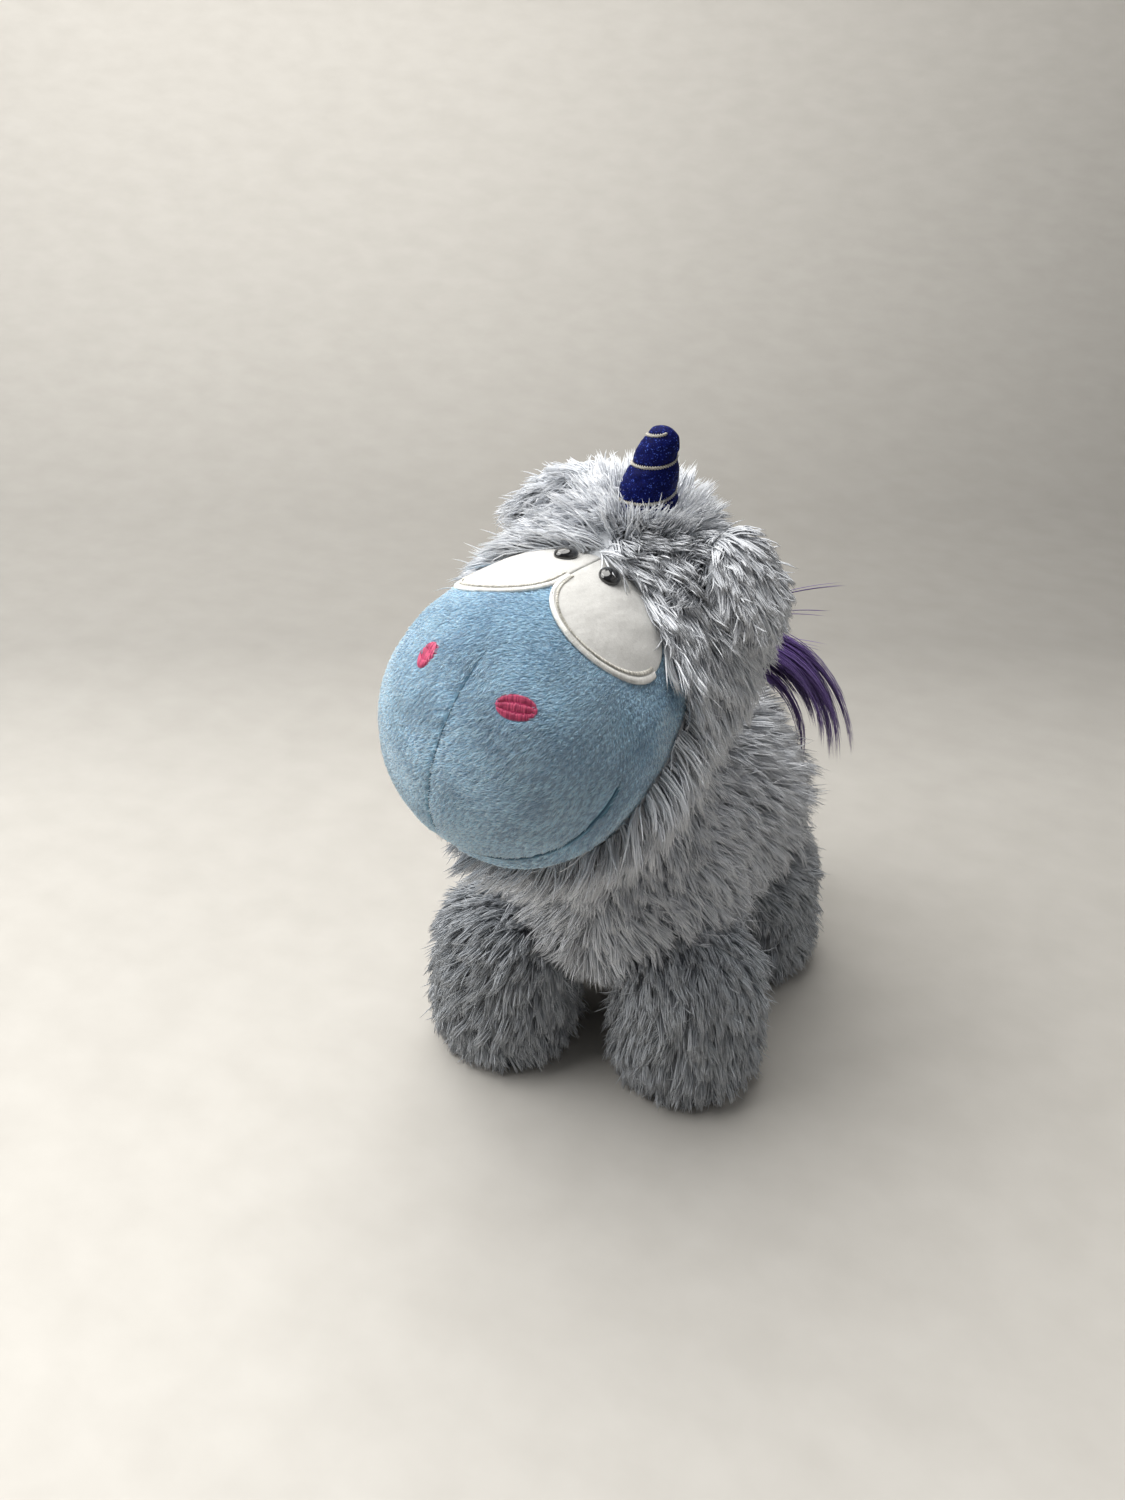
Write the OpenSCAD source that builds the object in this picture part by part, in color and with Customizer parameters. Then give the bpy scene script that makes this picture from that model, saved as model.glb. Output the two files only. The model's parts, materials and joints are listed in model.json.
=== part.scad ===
// Plush unicorn, standing, about 250 mm tall to the tip of its horn.
// The animal faces -Y, its own left side is +X and the floor is Z = 0.

/* [Body] */
// Radius of the chest end of the torso
chest_r = 43; // [40:0.5:45]
// Radius of the rump end of the torso
rump_r = 51; // [48:0.5:53]
// Distance from the chest centre to the rump centre
torso_run = 35; // [32:1:38]
// Height of the torso's long axis above the floor
torso_z = 75; // [72:1:78]

/* [Head] */
// Height of the head's pivot above the floor
head_z = 180; // [178:1:186]
// Radius of the back of the head
head_r = 44; // [42:0.5:45]
// Radius of the round muzzle
muzzle_r = 45; // [43:0.5:46]
// Radius of the brow that carries the eyes
brow_r = 41; // [40:0.5:42]
// Turn of the head towards the animal's right, in degrees
head_yaw = 17; // [0:1:20]
// Lean of the head towards the animal's left, in degrees
head_roll = 9; // [0:1:10]

/* [Face] */
// Radius of each felt eye patch
patch_r = 17.2; // [15:0.1:17.3]
// Radius of each bead pupil
pupil_r = 3.1; // [2.5:0.1:3.3]
// Width of the satin edge of an eye patch
trim_w = 1.6; // [1:0.1:2]

/* [Horn] */
// Height of the horn above its seam
horn_h = 29; // [24:1:32]
// Radius of the horn at its seam
horn_r = 8.6; // [7:0.1:9]

/* [Legs] */
// Largest radius of a leg
leg_r = 25; // [23:0.5:25]
// Height of the hip, where a leg swings
hip_z = 46; // [44:1:48]
// Radius of the flat sole
sole_r = 18; // [15:1:19]

/* [Fabric] */
// Thickness of the fur fabric
fur_t = 2.4; // [1.8:0.1:2.6]
// Thickness of the short-pile muzzle fabric
minky_t = 2; // [1.6:0.1:2.2]
// Thickness of the felt
felt_t = 1.2; // [1:0.1:1.4]

/* [Hidden] */

// The whole animal is moved by this much, so that the origin is under the middle of its box
centre_shift = [-0.6, 8.1, 0];

$fn = 64;
big = 400;
left = 1;
right = -1;

// Gaps: between pieces that are sewn together, and between bodies that move
seam_gap = 0.15;
run_gap = 0.6;

// Torso
belly_z = torso_z - 0.62 * rump_r;
chest_y = 0;
rump_y = chest_y + torso_run;
bag_r = 15;
bag_pos = [0, rump_y - 2, torso_z - rump_r + bag_r];

// Head
pivot = [0, -8, head_z];
muzzle_pos = [0, -52, -10];
brow_pos = [0, -30, -5];
nod_max = 12;
// The chin seam is a plane through this point, tilted back by this angle
chin_seam_pos = [0, -84.8, -40.9];
chin_seam_tilt = 60.5;

// Neck
neck_r = 30;
neck_base_z = torso_z + 29;
neck_top_z = head_z - 40;

// Eyes, in the head's own frame
patch_pos = [17.5, -42];
pupil_pos = [8, -30];
stem_r = 0.9;
washer_r = 5;
washer_t = 1;

// Nostrils: direction seen from the muzzle's centre, in degrees, and half their length and height
nostril_side = 29;
nostril_rise = 42;
nostril_half = [6, 3.8];

// Horn
horn_lean = -1;
horn_tip_r = 3.2;
horn_y = -1;
horn_seat = head_r + 0.3;
cord_r = 0.7;
cord_turns = 1.9;
cord_rings = 40;
cord_sides = 8;

// Ears: a flattened oval lying on the side of the head
ear_r = 17;
ear_half_t = 5;
ear_side = 46;
ear_back = 5;
ear_seat = head_r + 1.2;

// Legs: front left, front right, hind left, hind right, as places on the floor
leg_xy = [[36, -27], [-37, -34], [44, 44], [-44, 44]];
hip_r = 23;
swing_max = 12;
pocket_gap = 1.2;

// Tail: its root on the rump, and the curve of its hair over the animal's left haunch
tail_rise = 62;
tail_root_r = 5;
tail_root_h = 5;
tail_end = [68, 76, 88];
tail_lift = [22, 70, 148];
tail_fall = [62, 78, 136];
tail_rings = 18;
tail_sides = 12;

// ---- frames ----

module in_head() {
    translate(pivot) rotate([0, 0, -head_yaw]) rotate([0, head_roll, 0]) children();
}

// Turns the child about the nod axis by an angle
module nodded(angle) {
    translate(pivot) rotate([0, 0, -head_yaw]) rotate([angle, 0, 0]) rotate([0, head_roll, 0])
        children();
}

// Places +Z of the child along a direction given as side and rise angles, looking towards -Y
module facing(side, rise, radius) {
    rotate([0, 0, side]) rotate([90 - rise, 0, 0]) translate([0, 0, radius]) children();
}

// Places the child on the brow, above a point given in plan
module on_brow(plan, radius) {
    flat = [plan[0] - brow_pos[0], plan[1] - brow_pos[1]];
    polar = asin(norm(flat) / brow_r);
    translate(brow_pos) rotate([0, polar, atan2(flat[1], flat[0])])
        translate([0, 0, radius]) children();
}

module half_space(side) {
    translate([side * (big / 2 + seam_gap / 2), 0, 0]) cube(big, center = true);
}

// ---- torso ----

// Outline of the torso from above, as a radius for each place along its axis
function torso_outline(grow) =
    let (n = 6, slope = asin((rump_r - chest_r) / torso_run))
    concat(
        [for (i = [0 : n]) let (a = 180 - i * (90 - slope) / n)
            [(chest_r + grow) * sin(a), (chest_r + grow) * cos(a)]],
        [for (i = [0 : n]) let (a = 90 + slope - i * (90 + slope) / n)
            [(rump_r + grow) * sin(a), torso_run + (rump_r + grow) * cos(a)]]);

module torso_form(grow) {
    translate([0, chest_y, torso_z]) rotate([-90, 0, 0])
        rotate_extrude() polygon(torso_outline(grow));
}

// The room that a swinging leg needs: a dome about the hip that flares downwards
module leg_pocket(i, grow) {
    r = leg_r + pocket_gap + grow;
    n = 5;
    translate([leg_xy[i][0], leg_xy[i][1], hip_z]) rotate_extrude()
        polygon(concat(
            [[0, -hip_z], [r + hip_z * tan(swing_max), -hip_z]],
            [for (k = [0 : n]) let (a = 90 * k / n) [r * cos(a), r * sin(a)]]));
}

// The four leg pockets and the flat seat where the neck turns
module torso_hollows(grow) {
    for (i = [0 : 3]) leg_pocket(i, grow);
    translate([pivot[0], pivot[1], neck_base_z - run_gap - grow])
        cylinder(r = neck_r + 3 + grow, h = 60);
}

module torso_skin() {
    difference() {
        torso_form(0);
        difference() {
            torso_form(-fur_t);
            torso_hollows(fur_t);
        }
        torso_hollows(0);
    }
}

module torso_cover(side) {
    color("#a4acb6") intersection() {
        torso_skin();
        half_space(side);
        translate([0, 0, belly_z + seam_gap + big / 2]) cube(big, center = true);
    }
}

module belly_panel() {
    color("#9aa3ad") intersection() {
        torso_skin();
        translate([0, 0, belly_z - big / 2]) cube(big, center = true);
    }
}

module torso_stuffing() {
    color("#f2f0ea") difference() {
        torso_form(-fur_t - 0.3);
        torso_hollows(fur_t + 0.3);
        translate(bag_pos) sphere(bag_r + 0.3);
    }
}

// The bag of pellets rests on the belly panel
module pellet_bag() {
    color("#d9d4c8") intersection() {
        translate(bag_pos) sphere(bag_r);
        torso_form(-fur_t - 0.3);
    }
}

// ---- neck ----

// Everything that the nodding head sweeps above the neck
module head_sweep() {
    translate(pivot) sphere(head_r + run_gap);
    for (a = [-nod_max, 0, nod_max])
        nodded(a) translate(muzzle_pos) sphere(muzzle_r + run_gap + 1);
    nodded(nod_max) translate(brow_pos) sphere(brow_r + run_gap + 1);
}

module neck_form(grow, base) {
    difference() {
        translate([pivot[0], pivot[1], base]) cylinder(r = neck_r + grow, h = neck_top_z - base);
        head_sweep();
    }
}

module neck_cover() {
    color("#a4acb6") difference() {
        neck_form(0, neck_base_z);
        translate([pivot[0], pivot[1], neck_base_z - 1])
            cylinder(r = neck_r - fur_t, h = big / 4);
    }
}

module neck_stuffing() {
    color("#f2f0ea") neck_form(-fur_t - 0.2, neck_base_z);
}

// ---- head ----

// A ball whose poles point to the sides, unless $poles says otherwise
$poles = [0, 90, 0];
module ball(r) {
    rotate($poles) sphere(r);
}

// The muzzle and brow together, as one rounded face
module face_form(grow) {
    translate(muzzle_pos) ball(muzzle_r + grow);
    translate(brow_pos) ball(brow_r + grow);
}

module face_skin() {
    difference() {
        face_form(0);
        face_form(-minky_t);
        ball(head_r + seam_gap);
        for (side = [left, right]) pupil_stem(side, 0.15);
    }
}

// The space in front of the chin seam, or behind it
module beside_chin_seam(in_front, gap) {
    translate(chin_seam_pos) rotate([chin_seam_tilt, 0, 0])
        translate([0, 0, (in_front ? 1 : -1) * (big / 2 + gap)]) cube(big, center = true);
}

module head_cover(side) {
    $poles = [90, 0, 0];
    color("#aab2bc") in_head() intersection() {
        difference() {
            ball(head_r);
            ball(head_r - fur_t);
            face_form(-minky_t);
        }
        half_space(side);
    }
}

module muzzle_cover(side) {
    color("#86aac6") in_head() intersection() {
        face_skin();
        beside_chin_seam(true, seam_gap);
        half_space(side);
    }
}

module chin_panel() {
    $poles = [90, 0, 0];
    color("#6f93b3") in_head() intersection() {
        face_skin();
        beside_chin_seam(false, 0);
    }
}

module head_stuffing() {
    $poles = [90, 0, 0];
    color("#f2f0ea") in_head() difference() {
        union() {
            ball(head_r - fur_t - 0.2);
            face_form(-minky_t - 0.2);
        }
        for (side = [left, right]) {
            pupil_stem(side, 0.2);
            eye_washer_form(side, 0.2);
        }
    }
}

// ---- face ----

// A thin layer that lies on the face
module face_layer(bottom, top) {
    difference() {
        face_form(top);
        face_form(bottom);
        ball(head_r + seam_gap);
    }
}

module patch_plan(side) {
    mirror([side == right ? 1 : 0, 0]) {
        translate(patch_pos) circle(patch_r);
        translate([seam_gap, patch_pos[1]]) square([patch_pos[0] + 8, 22]);
    }
}

module eye_patch(side) {
    color("#efede6") in_head() difference() {
        intersection() {
            face_layer(seam_gap, seam_gap + felt_t);
            linear_extrude(big) patch_plan(side);
        }
        pupil_stem(side, 0.15);
    }
}

module eye_trim(side) {
    color("#f7f7f5") in_head() intersection() {
        face_layer(seam_gap, seam_gap + felt_t + 0.4);
        linear_extrude(big) mirror([side == right ? 1 : 0, 0]) intersection() {
            difference() {
                translate(patch_pos) circle(patch_r + trim_w);
                translate(patch_pos) circle(patch_r + seam_gap);
            }
            translate([seam_gap, patch_pos[1] - 30]) square([big, 30]);
        }
    }
}

module pupil_stem(side, grow) {
    on_brow([side * pupil_pos[0], pupil_pos[1]], brow_r - 6)
        cylinder(r = stem_r + grow, h = 9);
}

module pupil(side) {
    color("#101012") in_head()
        on_brow([side * pupil_pos[0], pupil_pos[1]], brow_r) {
            translate([0, 0, felt_t + 2 * seam_gap + 0.1]) rotate_extrude()
                intersection() {
                    translate([0, -pupil_r * 0.35]) circle(pupil_r * 1.06);
                    square([pupil_r, pupil_r]);
                }
            translate([0, 0, -minky_t - 2]) cylinder(r = stem_r, h = minky_t + 4);
        }
}

module eye_washer_form(side, grow) {
    on_brow([side * pupil_pos[0], pupil_pos[1]], brow_r - minky_t - 1.4 - washer_t)
        translate([0, 0, -grow]) cylinder(r = washer_r + grow, h = washer_t + 2 * grow);
}

module eye_washer(side) {
    color("#d8d8d8") in_head() difference() {
        eye_washer_form(side, 0);
        pupil_stem(side, 0.05);
    }
}

module nostril(side) {
    color("#d8437f") in_head() intersection() {
        translate(muzzle_pos) difference() {
            ball(muzzle_r + seam_gap + 1);
            ball(muzzle_r + seam_gap);
        }
        translate(muzzle_pos) facing(side * nostril_side, nostril_rise, muzzle_r - 6)
            linear_extrude(14) hull() {
                for (s = [-1, 1])
                    translate([s * (nostril_half[0] - nostril_half[1]), 0])
                        circle(nostril_half[1], $fn = 32);
            }
    }
}

// ---- horn ----

// Outline of the horn: a cone with bulging sides and a round tip
function horn_width(z) = let (t = z / horn_h)
    horn_r + (horn_tip_r - horn_r) * t * t * 0.55 + (horn_tip_r - horn_r) * t * 0.45;

module horn_outline(grow) {
    tip_z = horn_h - horn_tip_r;
    polygon(concat(
        [[0, -grow], [horn_r + grow, 1.4 - grow]],
        [for (i = [1 : 6]) let (z = tip_z * i / 6) [horn_width(z) + grow, z]],
        [for (i = [1 : 5]) let (a = i * 18)
            [(horn_width(tip_z) + grow) * cos(a), tip_z + (horn_tip_r + grow) * sin(a)]]));
}

module in_horn() {
    in_head() translate([0, horn_y, horn_seat]) rotate([0, horn_lean, 0]) children();
}

module horn_cover() {
    color("#1f2f9a") in_horn() difference() {
        rotate_extrude() horn_outline(0);
        rotate_extrude() horn_outline(-0.8);
    }
}

module horn_stuffing() {
    color("#f2f0ea") in_horn() rotate_extrude() horn_outline(-0.95);
}

// A closed tube through rings of points
module swept(rings, sides) {
    last = len(rings) - 1;
    walls = [for (i = [0 : last - 1]) for (k = [0 : sides - 1])
        [i * sides + k, i * sides + (k + 1) % sides,
         (i + 1) * sides + (k + 1) % sides, (i + 1) * sides + k]];
    ends = [[for (k = [sides - 1 : -1 : 0]) k], [for (k = [0 : sides - 1]) last * sides + k]];
    polyhedron([for (ring = rings) each ring], concat(walls, ends), convexity = 6);
}

// The silver cord winds up the horn in a helix
function cord_point(t) =
    let (z = 4 + (horn_h - 9) * t, a = 360 * cord_turns * t, r = horn_width(z) + cord_r + 0.1)
    [r * cos(a), r * sin(a), z];

module horn_cord() {
    rings = [for (i = [0 : cord_rings]) let (
            t = i / cord_rings, a = 360 * cord_turns * t, out = [cos(a), sin(a), 0])
        [for (k = [0 : cord_sides - 1]) let (b = 360 * k / cord_sides)
            cord_point(t) + cord_r * (cos(b) * out - sin(b) * [0, 0, 1])]];
    color("#c9ccd2") in_horn() swept(rings, cord_sides);
}

// ---- ears ----

module in_ear(side) {
    in_head() rotate([0, side * ear_side, 0]) rotate([-ear_back, 0, 0])
        translate([0, 0, ear_seat + ear_half_t]) children();
}

function ear_profile(half) = [for (i = [0 : 12]) let (a = 90 - i * 15) [ear_r * cos(a), half * sin(a)]];

module ear_form() {
    rotate_extrude() polygon(ear_profile(ear_half_t));
}

module ear_fur(side) {
    color("#aab2bc") in_ear(side) intersection() {
        ear_form();
        translate([0, 0, big / 2 - 1]) cube(big, center = true);
    }
}

module ear_lining(side) {
    color("#8f98a3") in_ear(side) intersection() {
        ear_form();
        translate([0, 0, -1 - seam_gap - big / 2]) cube(big, center = true);
    }
}

// ---- legs ----

// Outline of a leg, from the sole up to its round top about the hip
function leg_outline(grow) =
    let (n = 8)
    concat(
        [[0, 0], [sole_r + grow, 0]],
        [for (i = [1 : 5]) let (a = -75 + i * 15)
            [sole_r + grow + (leg_r - sole_r) * cos(a), 14 + 14 * sin(a)]],
        [for (i = [0 : n]) let (a = i * 90 / n)
            [(hip_r + grow) * cos(a), hip_z + (hip_r + grow) * sin(a)]]);

module leg_solid(grow) {
    rotate_extrude() polygon(leg_outline(grow));
}

module at_leg(i) {
    translate([leg_xy[i][0], leg_xy[i][1], 0]) children();
}

module leg_cover(i) {
    color("#8e97a2") at_leg(i) difference() {
        leg_solid(0);
        leg_solid(-fur_t);
        translate([0, 0, -1]) cylinder(r = sole_r - 1, h = 4);
    }
}

module leg_sole(i) {
    color("#7f8893") at_leg(i) cylinder(r = sole_r - 1 - seam_gap, h = fur_t);
}

module leg_stuffing(i) {
    color("#f2f0ea") at_leg(i) intersection() {
        leg_solid(-fur_t - 0.2);
        translate([0, 0, fur_t + 0.2 + big / 2]) cube(big, center = true);
    }
}

// ---- tail ----

tail_dir = [0, cos(tail_rise), sin(tail_rise)];
tail_start = [0, rump_y, torso_z] + (rump_r + tail_root_h + 3.2) * tail_dir;

function tail_point(t) =
    pow(1 - t, 3) * tail_start + 3 * t * pow(1 - t, 2) * tail_lift
    + 3 * t * t * (1 - t) * tail_fall + t * t * t * tail_end;
function tail_slope(t) =
    let (d = tail_point(min(t + 0.01, 1)) - tail_point(max(t - 0.01, 0))) d / norm(d);
function tail_width(t) = 3.6 + 6 * sin(180 * pow(t, 0.8)) - 1.4 * t;

module tail_root() {
    color("#9aa3ad") translate([0, rump_y, torso_z]) rotate([tail_rise - 90, 0, 0])
        translate([0, 0, rump_r + 0.4]) cylinder(r = tail_root_r, h = tail_root_h);
}

module tail_hair() {
    rings = [for (i = [0 : tail_rings]) let (
            t = i / tail_rings, along = tail_slope(t),
            across = cross(along, [0, 1, 0]) / norm(cross(along, [0, 1, 0])),
            up = cross(across, along))
        [for (k = [0 : tail_sides - 1]) let (b = 360 * k / tail_sides)
            tail_point(t) + tail_width(t) * (cos(b) * across + sin(b) * up)]];
    color("#4b327d") swept(rings, tail_sides);
}

// ---- nodes ----

module placed() {
    translate(centre_shift) children();
}

placed() torso_cover(left);  // torso_cover_left
placed() torso_cover(right);  // torso_cover_right
placed() belly_panel();
placed() torso_stuffing();
placed() pellet_bag();
placed() neck_cover();
placed() neck_stuffing();
placed() head_cover(left);  // head_cover_left
placed() head_cover(right);  // head_cover_right
placed() muzzle_cover(left);  // muzzle_cover_left
placed() muzzle_cover(right);  // muzzle_cover_right
placed() chin_panel();
placed() head_stuffing();
placed() eye_patch(left);  // eye_patch_left
placed() eye_patch(right);  // eye_patch_right
placed() eye_trim(left);  // eye_trim_left
placed() eye_trim(right);  // eye_trim_right
placed() pupil(left);  // pupil_left
placed() pupil(right);  // pupil_right
placed() eye_washer(left);  // eye_washer_left
placed() eye_washer(right);  // eye_washer_right
placed() nostril(left);  // nostril_left
placed() nostril(right);  // nostril_right
placed() horn_cover();
placed() horn_stuffing();
placed() horn_cord();
placed() ear_fur(left);  // ear_left_fur
placed() ear_lining(left);  // ear_left_lining
placed() ear_fur(right);  // ear_right_fur
placed() ear_lining(right);  // ear_right_lining
placed() leg_cover(0);  // leg_front_left_cover
placed() leg_sole(0);  // leg_front_left_sole
placed() leg_stuffing(0);  // leg_front_left_stuffing
placed() leg_cover(1);  // leg_front_right_cover
placed() leg_sole(1);  // leg_front_right_sole
placed() leg_stuffing(1);  // leg_front_right_stuffing
placed() leg_cover(2);  // leg_hind_left_cover
placed() leg_sole(2);  // leg_hind_left_sole
placed() leg_stuffing(2);  // leg_hind_left_stuffing
placed() leg_cover(3);  // leg_hind_right_cover
placed() leg_sole(3);  // leg_hind_right_sole
placed() leg_stuffing(3);  // leg_hind_right_stuffing
placed() tail_root();
placed() tail_hair();
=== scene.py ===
"""The plush unicorn's looks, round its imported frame. Lengths are in millimetres until a mesh is made."""

import json
import math

import bpy
import numpy as np
from mathutils import Matrix, Vector


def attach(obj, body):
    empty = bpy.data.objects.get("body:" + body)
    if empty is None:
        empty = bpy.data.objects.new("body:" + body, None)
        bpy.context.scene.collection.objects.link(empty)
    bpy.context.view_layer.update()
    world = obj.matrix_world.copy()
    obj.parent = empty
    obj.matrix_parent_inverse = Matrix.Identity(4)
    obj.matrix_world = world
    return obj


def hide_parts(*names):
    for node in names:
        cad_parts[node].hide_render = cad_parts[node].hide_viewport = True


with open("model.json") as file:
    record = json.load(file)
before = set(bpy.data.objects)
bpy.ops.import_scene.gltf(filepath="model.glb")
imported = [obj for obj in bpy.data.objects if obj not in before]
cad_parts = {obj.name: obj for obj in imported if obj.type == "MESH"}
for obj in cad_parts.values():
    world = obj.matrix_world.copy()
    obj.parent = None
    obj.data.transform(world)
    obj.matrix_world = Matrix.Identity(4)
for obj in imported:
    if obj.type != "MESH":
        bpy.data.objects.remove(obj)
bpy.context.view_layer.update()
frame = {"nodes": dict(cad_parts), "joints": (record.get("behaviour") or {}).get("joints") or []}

MM = 0.001
UP = np.array([0.0, 0.0, 1.0])

# ---- driving sizes, in millimetres: the CAD model's, but for a horn a little larger than there ----

HEAD_R = 44.0
HEAD_ROLL = math.radians(9)
MUZZLE_POS = np.array([0.0, -52.0, -10.0])
MUZZLE_R = 45.0
BROW_POS = np.array([0.0, -30.0, -5.0])
BROW_R = 41.0
TORSO_Z = 75.0
CHEST_R = 43.0
RUMP_R = 51.0
TORSO_RUN = 35.0
NECK_R = 30.0
LEG_R = 25.0
HIP_R = 23.0
LEG_BULGE_Z = 14.0
PATCH_POS = np.array([17.5, -42.0])
PATCH_R = 17.2
PUPIL_POS = np.array([8.0, -30.0])
HORN_H = 30.2
HORN_R = 9.8
EAR_R = 17.0
HORN_FOOT = np.array([0.0, -1.0, HEAD_R])
EAR_HALF_T = 5.0
EAR_SIDE = math.radians(46)
EAR_BACK = math.radians(5)
NECK_AHEAD = 8.0
LEGS = ("leg_front_left", "leg_front_right", "leg_hind_left", "leg_hind_right")

SEAM_TILT = math.radians(60.5)
SEAM_NORMAL = np.array([0.0, -math.sin(SEAM_TILT), math.cos(SEAM_TILT)])
SEAM_UP = np.array([0.0, math.cos(SEAM_TILT), math.sin(SEAM_TILT)])

# ---- places, from the frame's joints ----

JOINTS = {j["name"]: j for j in frame["joints"]}


def joint_pos(name):
    return np.array(JOINTS[name]["pos_m"]) / MM


def joint_axis(name):
    axis = np.array(JOINTS[name]["axis"], float)
    return axis / np.linalg.norm(axis)


PIVOT = joint_pos("head_nod")
HEAD_YAW = math.atan2(joint_axis("head_nod")[1], joint_axis("head_nod")[0])
HEAD_TURN = np.array(Matrix.Rotation(HEAD_YAW, 3, "Z") @ Matrix.Rotation(HEAD_ROLL, 3, "Y"))
CHEST = np.array([PIVOT[0], PIVOT[1] + NECK_AHEAD, TORSO_Z])
RUMP = CHEST + [0, TORSO_RUN, 0]


def from_head(p):
    """A point or points of the head's own frame, in the row frame."""
    return np.asarray(p, float) @ HEAD_TURN.T + PIVOT


def to_head(p):
    return (np.asarray(p, float) - PIVOT) @ HEAD_TURN


# ---- small vector tools ----


def unit(v):
    v = np.asarray(v, float)
    return v / np.maximum(np.linalg.norm(v, axis=-1, keepdims=True), 1e-9)


def laid(v, n, nudge=0.0):
    """The way of v, laid down in the surface with normal n."""
    return unit(v - np.sum(v * n, -1, keepdims=True) * n + nudge)


def ease(x, low, high):
    """0 up to low and 1 from high on, eased in between."""
    t = np.clip((x - low) / (high - low), 0, 1)
    return t * t * (3 - 2 * t)


def full_turn(n):
    """n angles spread evenly round a circle."""
    return np.linspace(0, 2 * math.pi, n, endpoint=False)


def round_z(r, turn, z):
    """Points at a radius and an angle round the Z axis."""
    return np.stack([r * np.cos(turn), r * np.sin(turn), z], -1)


def run_of(path):
    """How far along a path each of its points lies."""
    return np.concatenate([[0], np.cumsum(np.linalg.norm(np.diff(path, axis=0), axis=1))])


def waves(p, size, seed, octaves=3):
    """Smooth noise from sums of plane waves, between about -1 and 1, with features of about that size."""
    rng = np.random.default_rng(seed)
    p = np.asarray(p, float)
    total = np.zeros(p.shape[:-1])
    for octave in range(octaves):
        for _ in range(5):
            k = unit(rng.normal(size=3)) * 2 * math.pi / (size / 1.9**octave)
            total += np.sin(p @ k + rng.uniform(0, 6.28)) / 1.9**octave / 2.2
    return total / 1.6


# ---- forms, as signed distances ----


def ball(p, centre, r):
    return np.linalg.norm(p - centre, axis=-1) - r


def capsule(p, a, b, ra, rb):
    """A rod with round ends, whose radius goes from ra to rb."""
    ab = b - a
    t = np.clip(((p - a) @ ab) / (ab @ ab), 0, 1)
    return np.linalg.norm(p - a - t[..., None] * ab, axis=-1) - (ra + (rb - ra) * t)


def blend_min(d1, d2, k):
    """The union of two forms, with a fillet of about k between them."""
    h = np.clip(0.5 + 0.5 * (d2 - d1) / k, 0, 1)
    return d2 + (d1 - d2) * h - k * h * (1 - h)


def face_form(p):
    """The muzzle and brow, in the head's frame. The muzzle is a little fuller above its middle than below."""
    q = p - MUZZLE_POS
    slump = np.stack([q[..., 0], q[..., 1], q[..., 2] * (1 - 0.02 * np.sign(q[..., 2]))], -1)
    muzzle = np.linalg.norm(slump, axis=-1) - MUZZLE_R - 0.6
    brow = ball(p, BROW_POS, BROW_R + 0.4)
    return blend_min(muzzle, brow, 9.0)


def face_in_place(p):
    """The face's form, at points in the row frame."""
    return face_form(to_head(p))


def head_form(p):
    return ball(p, np.zeros(3), HEAD_R - 1)


def torso_form(p):
    egg = capsule(p, CHEST, RUMP, CHEST_R, RUMP_R)
    for leg in LEGS:
        hip = joint_pos(leg + "_swing")
        pocket = capsule(p, hip, hip * [1, 1, 0], LEG_R + 1.2, LEG_R + 6)
        egg = np.maximum(egg, -pocket)
    return egg


def neck_form(p):
    low = np.array([PIVOT[0], PIVOT[1], TORSO_Z + 22])
    return capsule(p, low, low + [0, 0, 28], NECK_R, NECK_R - 5)


def leg_form(leg):
    hip = joint_pos(leg + "_swing")
    foot = hip * [1, 1, 0] + [0, 0, LEG_BULGE_Z]

    def form(p):
        body = capsule(p, foot, hip, LEG_R - 1, HIP_R - 1)
        return np.maximum(body, 1.2 - p[..., 2])

    return form


def gradient(form, p, step=0.2):
    axes = np.eye(3) * step
    return unit(np.stack([form(p + a) - form(p - a) for a in axes], -1))


# ---- meshes ----

TUBE_SIDES = 6


def mesh_object(name, verts, quads=(), tris=()):
    """An object from points in millimetres, in the row frame, with four-sided and three-sided faces."""
    quads = np.asarray(quads, np.int32).reshape(-1, 4)
    tris = np.asarray(tris, np.int32).reshape(-1, 3)
    mesh = bpy.data.meshes.new(name)
    mesh.vertices.add(len(verts))
    mesh.vertices.foreach_set("co", (np.asarray(verts, float) * MM).astype(np.float32).ravel())
    mesh.loops.add(quads.size + tris.size)
    mesh.loops.foreach_set("vertex_index", np.concatenate([quads.ravel(), tris.ravel()]))
    starts = np.concatenate([np.arange(len(quads)) * 4, quads.size + np.arange(len(tris)) * 3])
    mesh.polygons.add(len(starts))
    mesh.polygons.foreach_set("loop_start", starts.astype(np.int32))
    mesh.polygons.foreach_set("use_smooth", np.full(len(starts), True))
    mesh.update(calc_edges=True)
    obj = bpy.data.objects.new(name, mesh)
    bpy.context.scene.collection.objects.link(obj)
    return obj


def dress(obj, material, body, stands_for=()):
    """Gives a piece its material and body, and hides the CAD parts it stands for."""
    obj.data.materials.append(material)
    if stands_for:
        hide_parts(*stands_for)
    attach(obj, body)


def grid_quads(rows, cols, wrap=False):
    """Quads of a grid of points, whose columns close on themselves if wrap is true."""
    i, j = np.meshgrid(np.arange(rows - 1), np.arange(cols if wrap else cols - 1), indexing="ij")
    i, j = i.ravel(), j.ravel()
    k = (j + 1) % cols
    return np.stack([i * cols + j, i * cols + k, (i + 1) * cols + k, (i + 1) * cols + j], 1)


def set_uv(obj, uv):
    """The layer that holds where each corner lies in the piece's own pattern."""
    layer = obj.data.uv_layers.new(name="OFBake")
    layer.data.foreach_set("uv", np.asarray(uv, np.float32).ravel())


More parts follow.
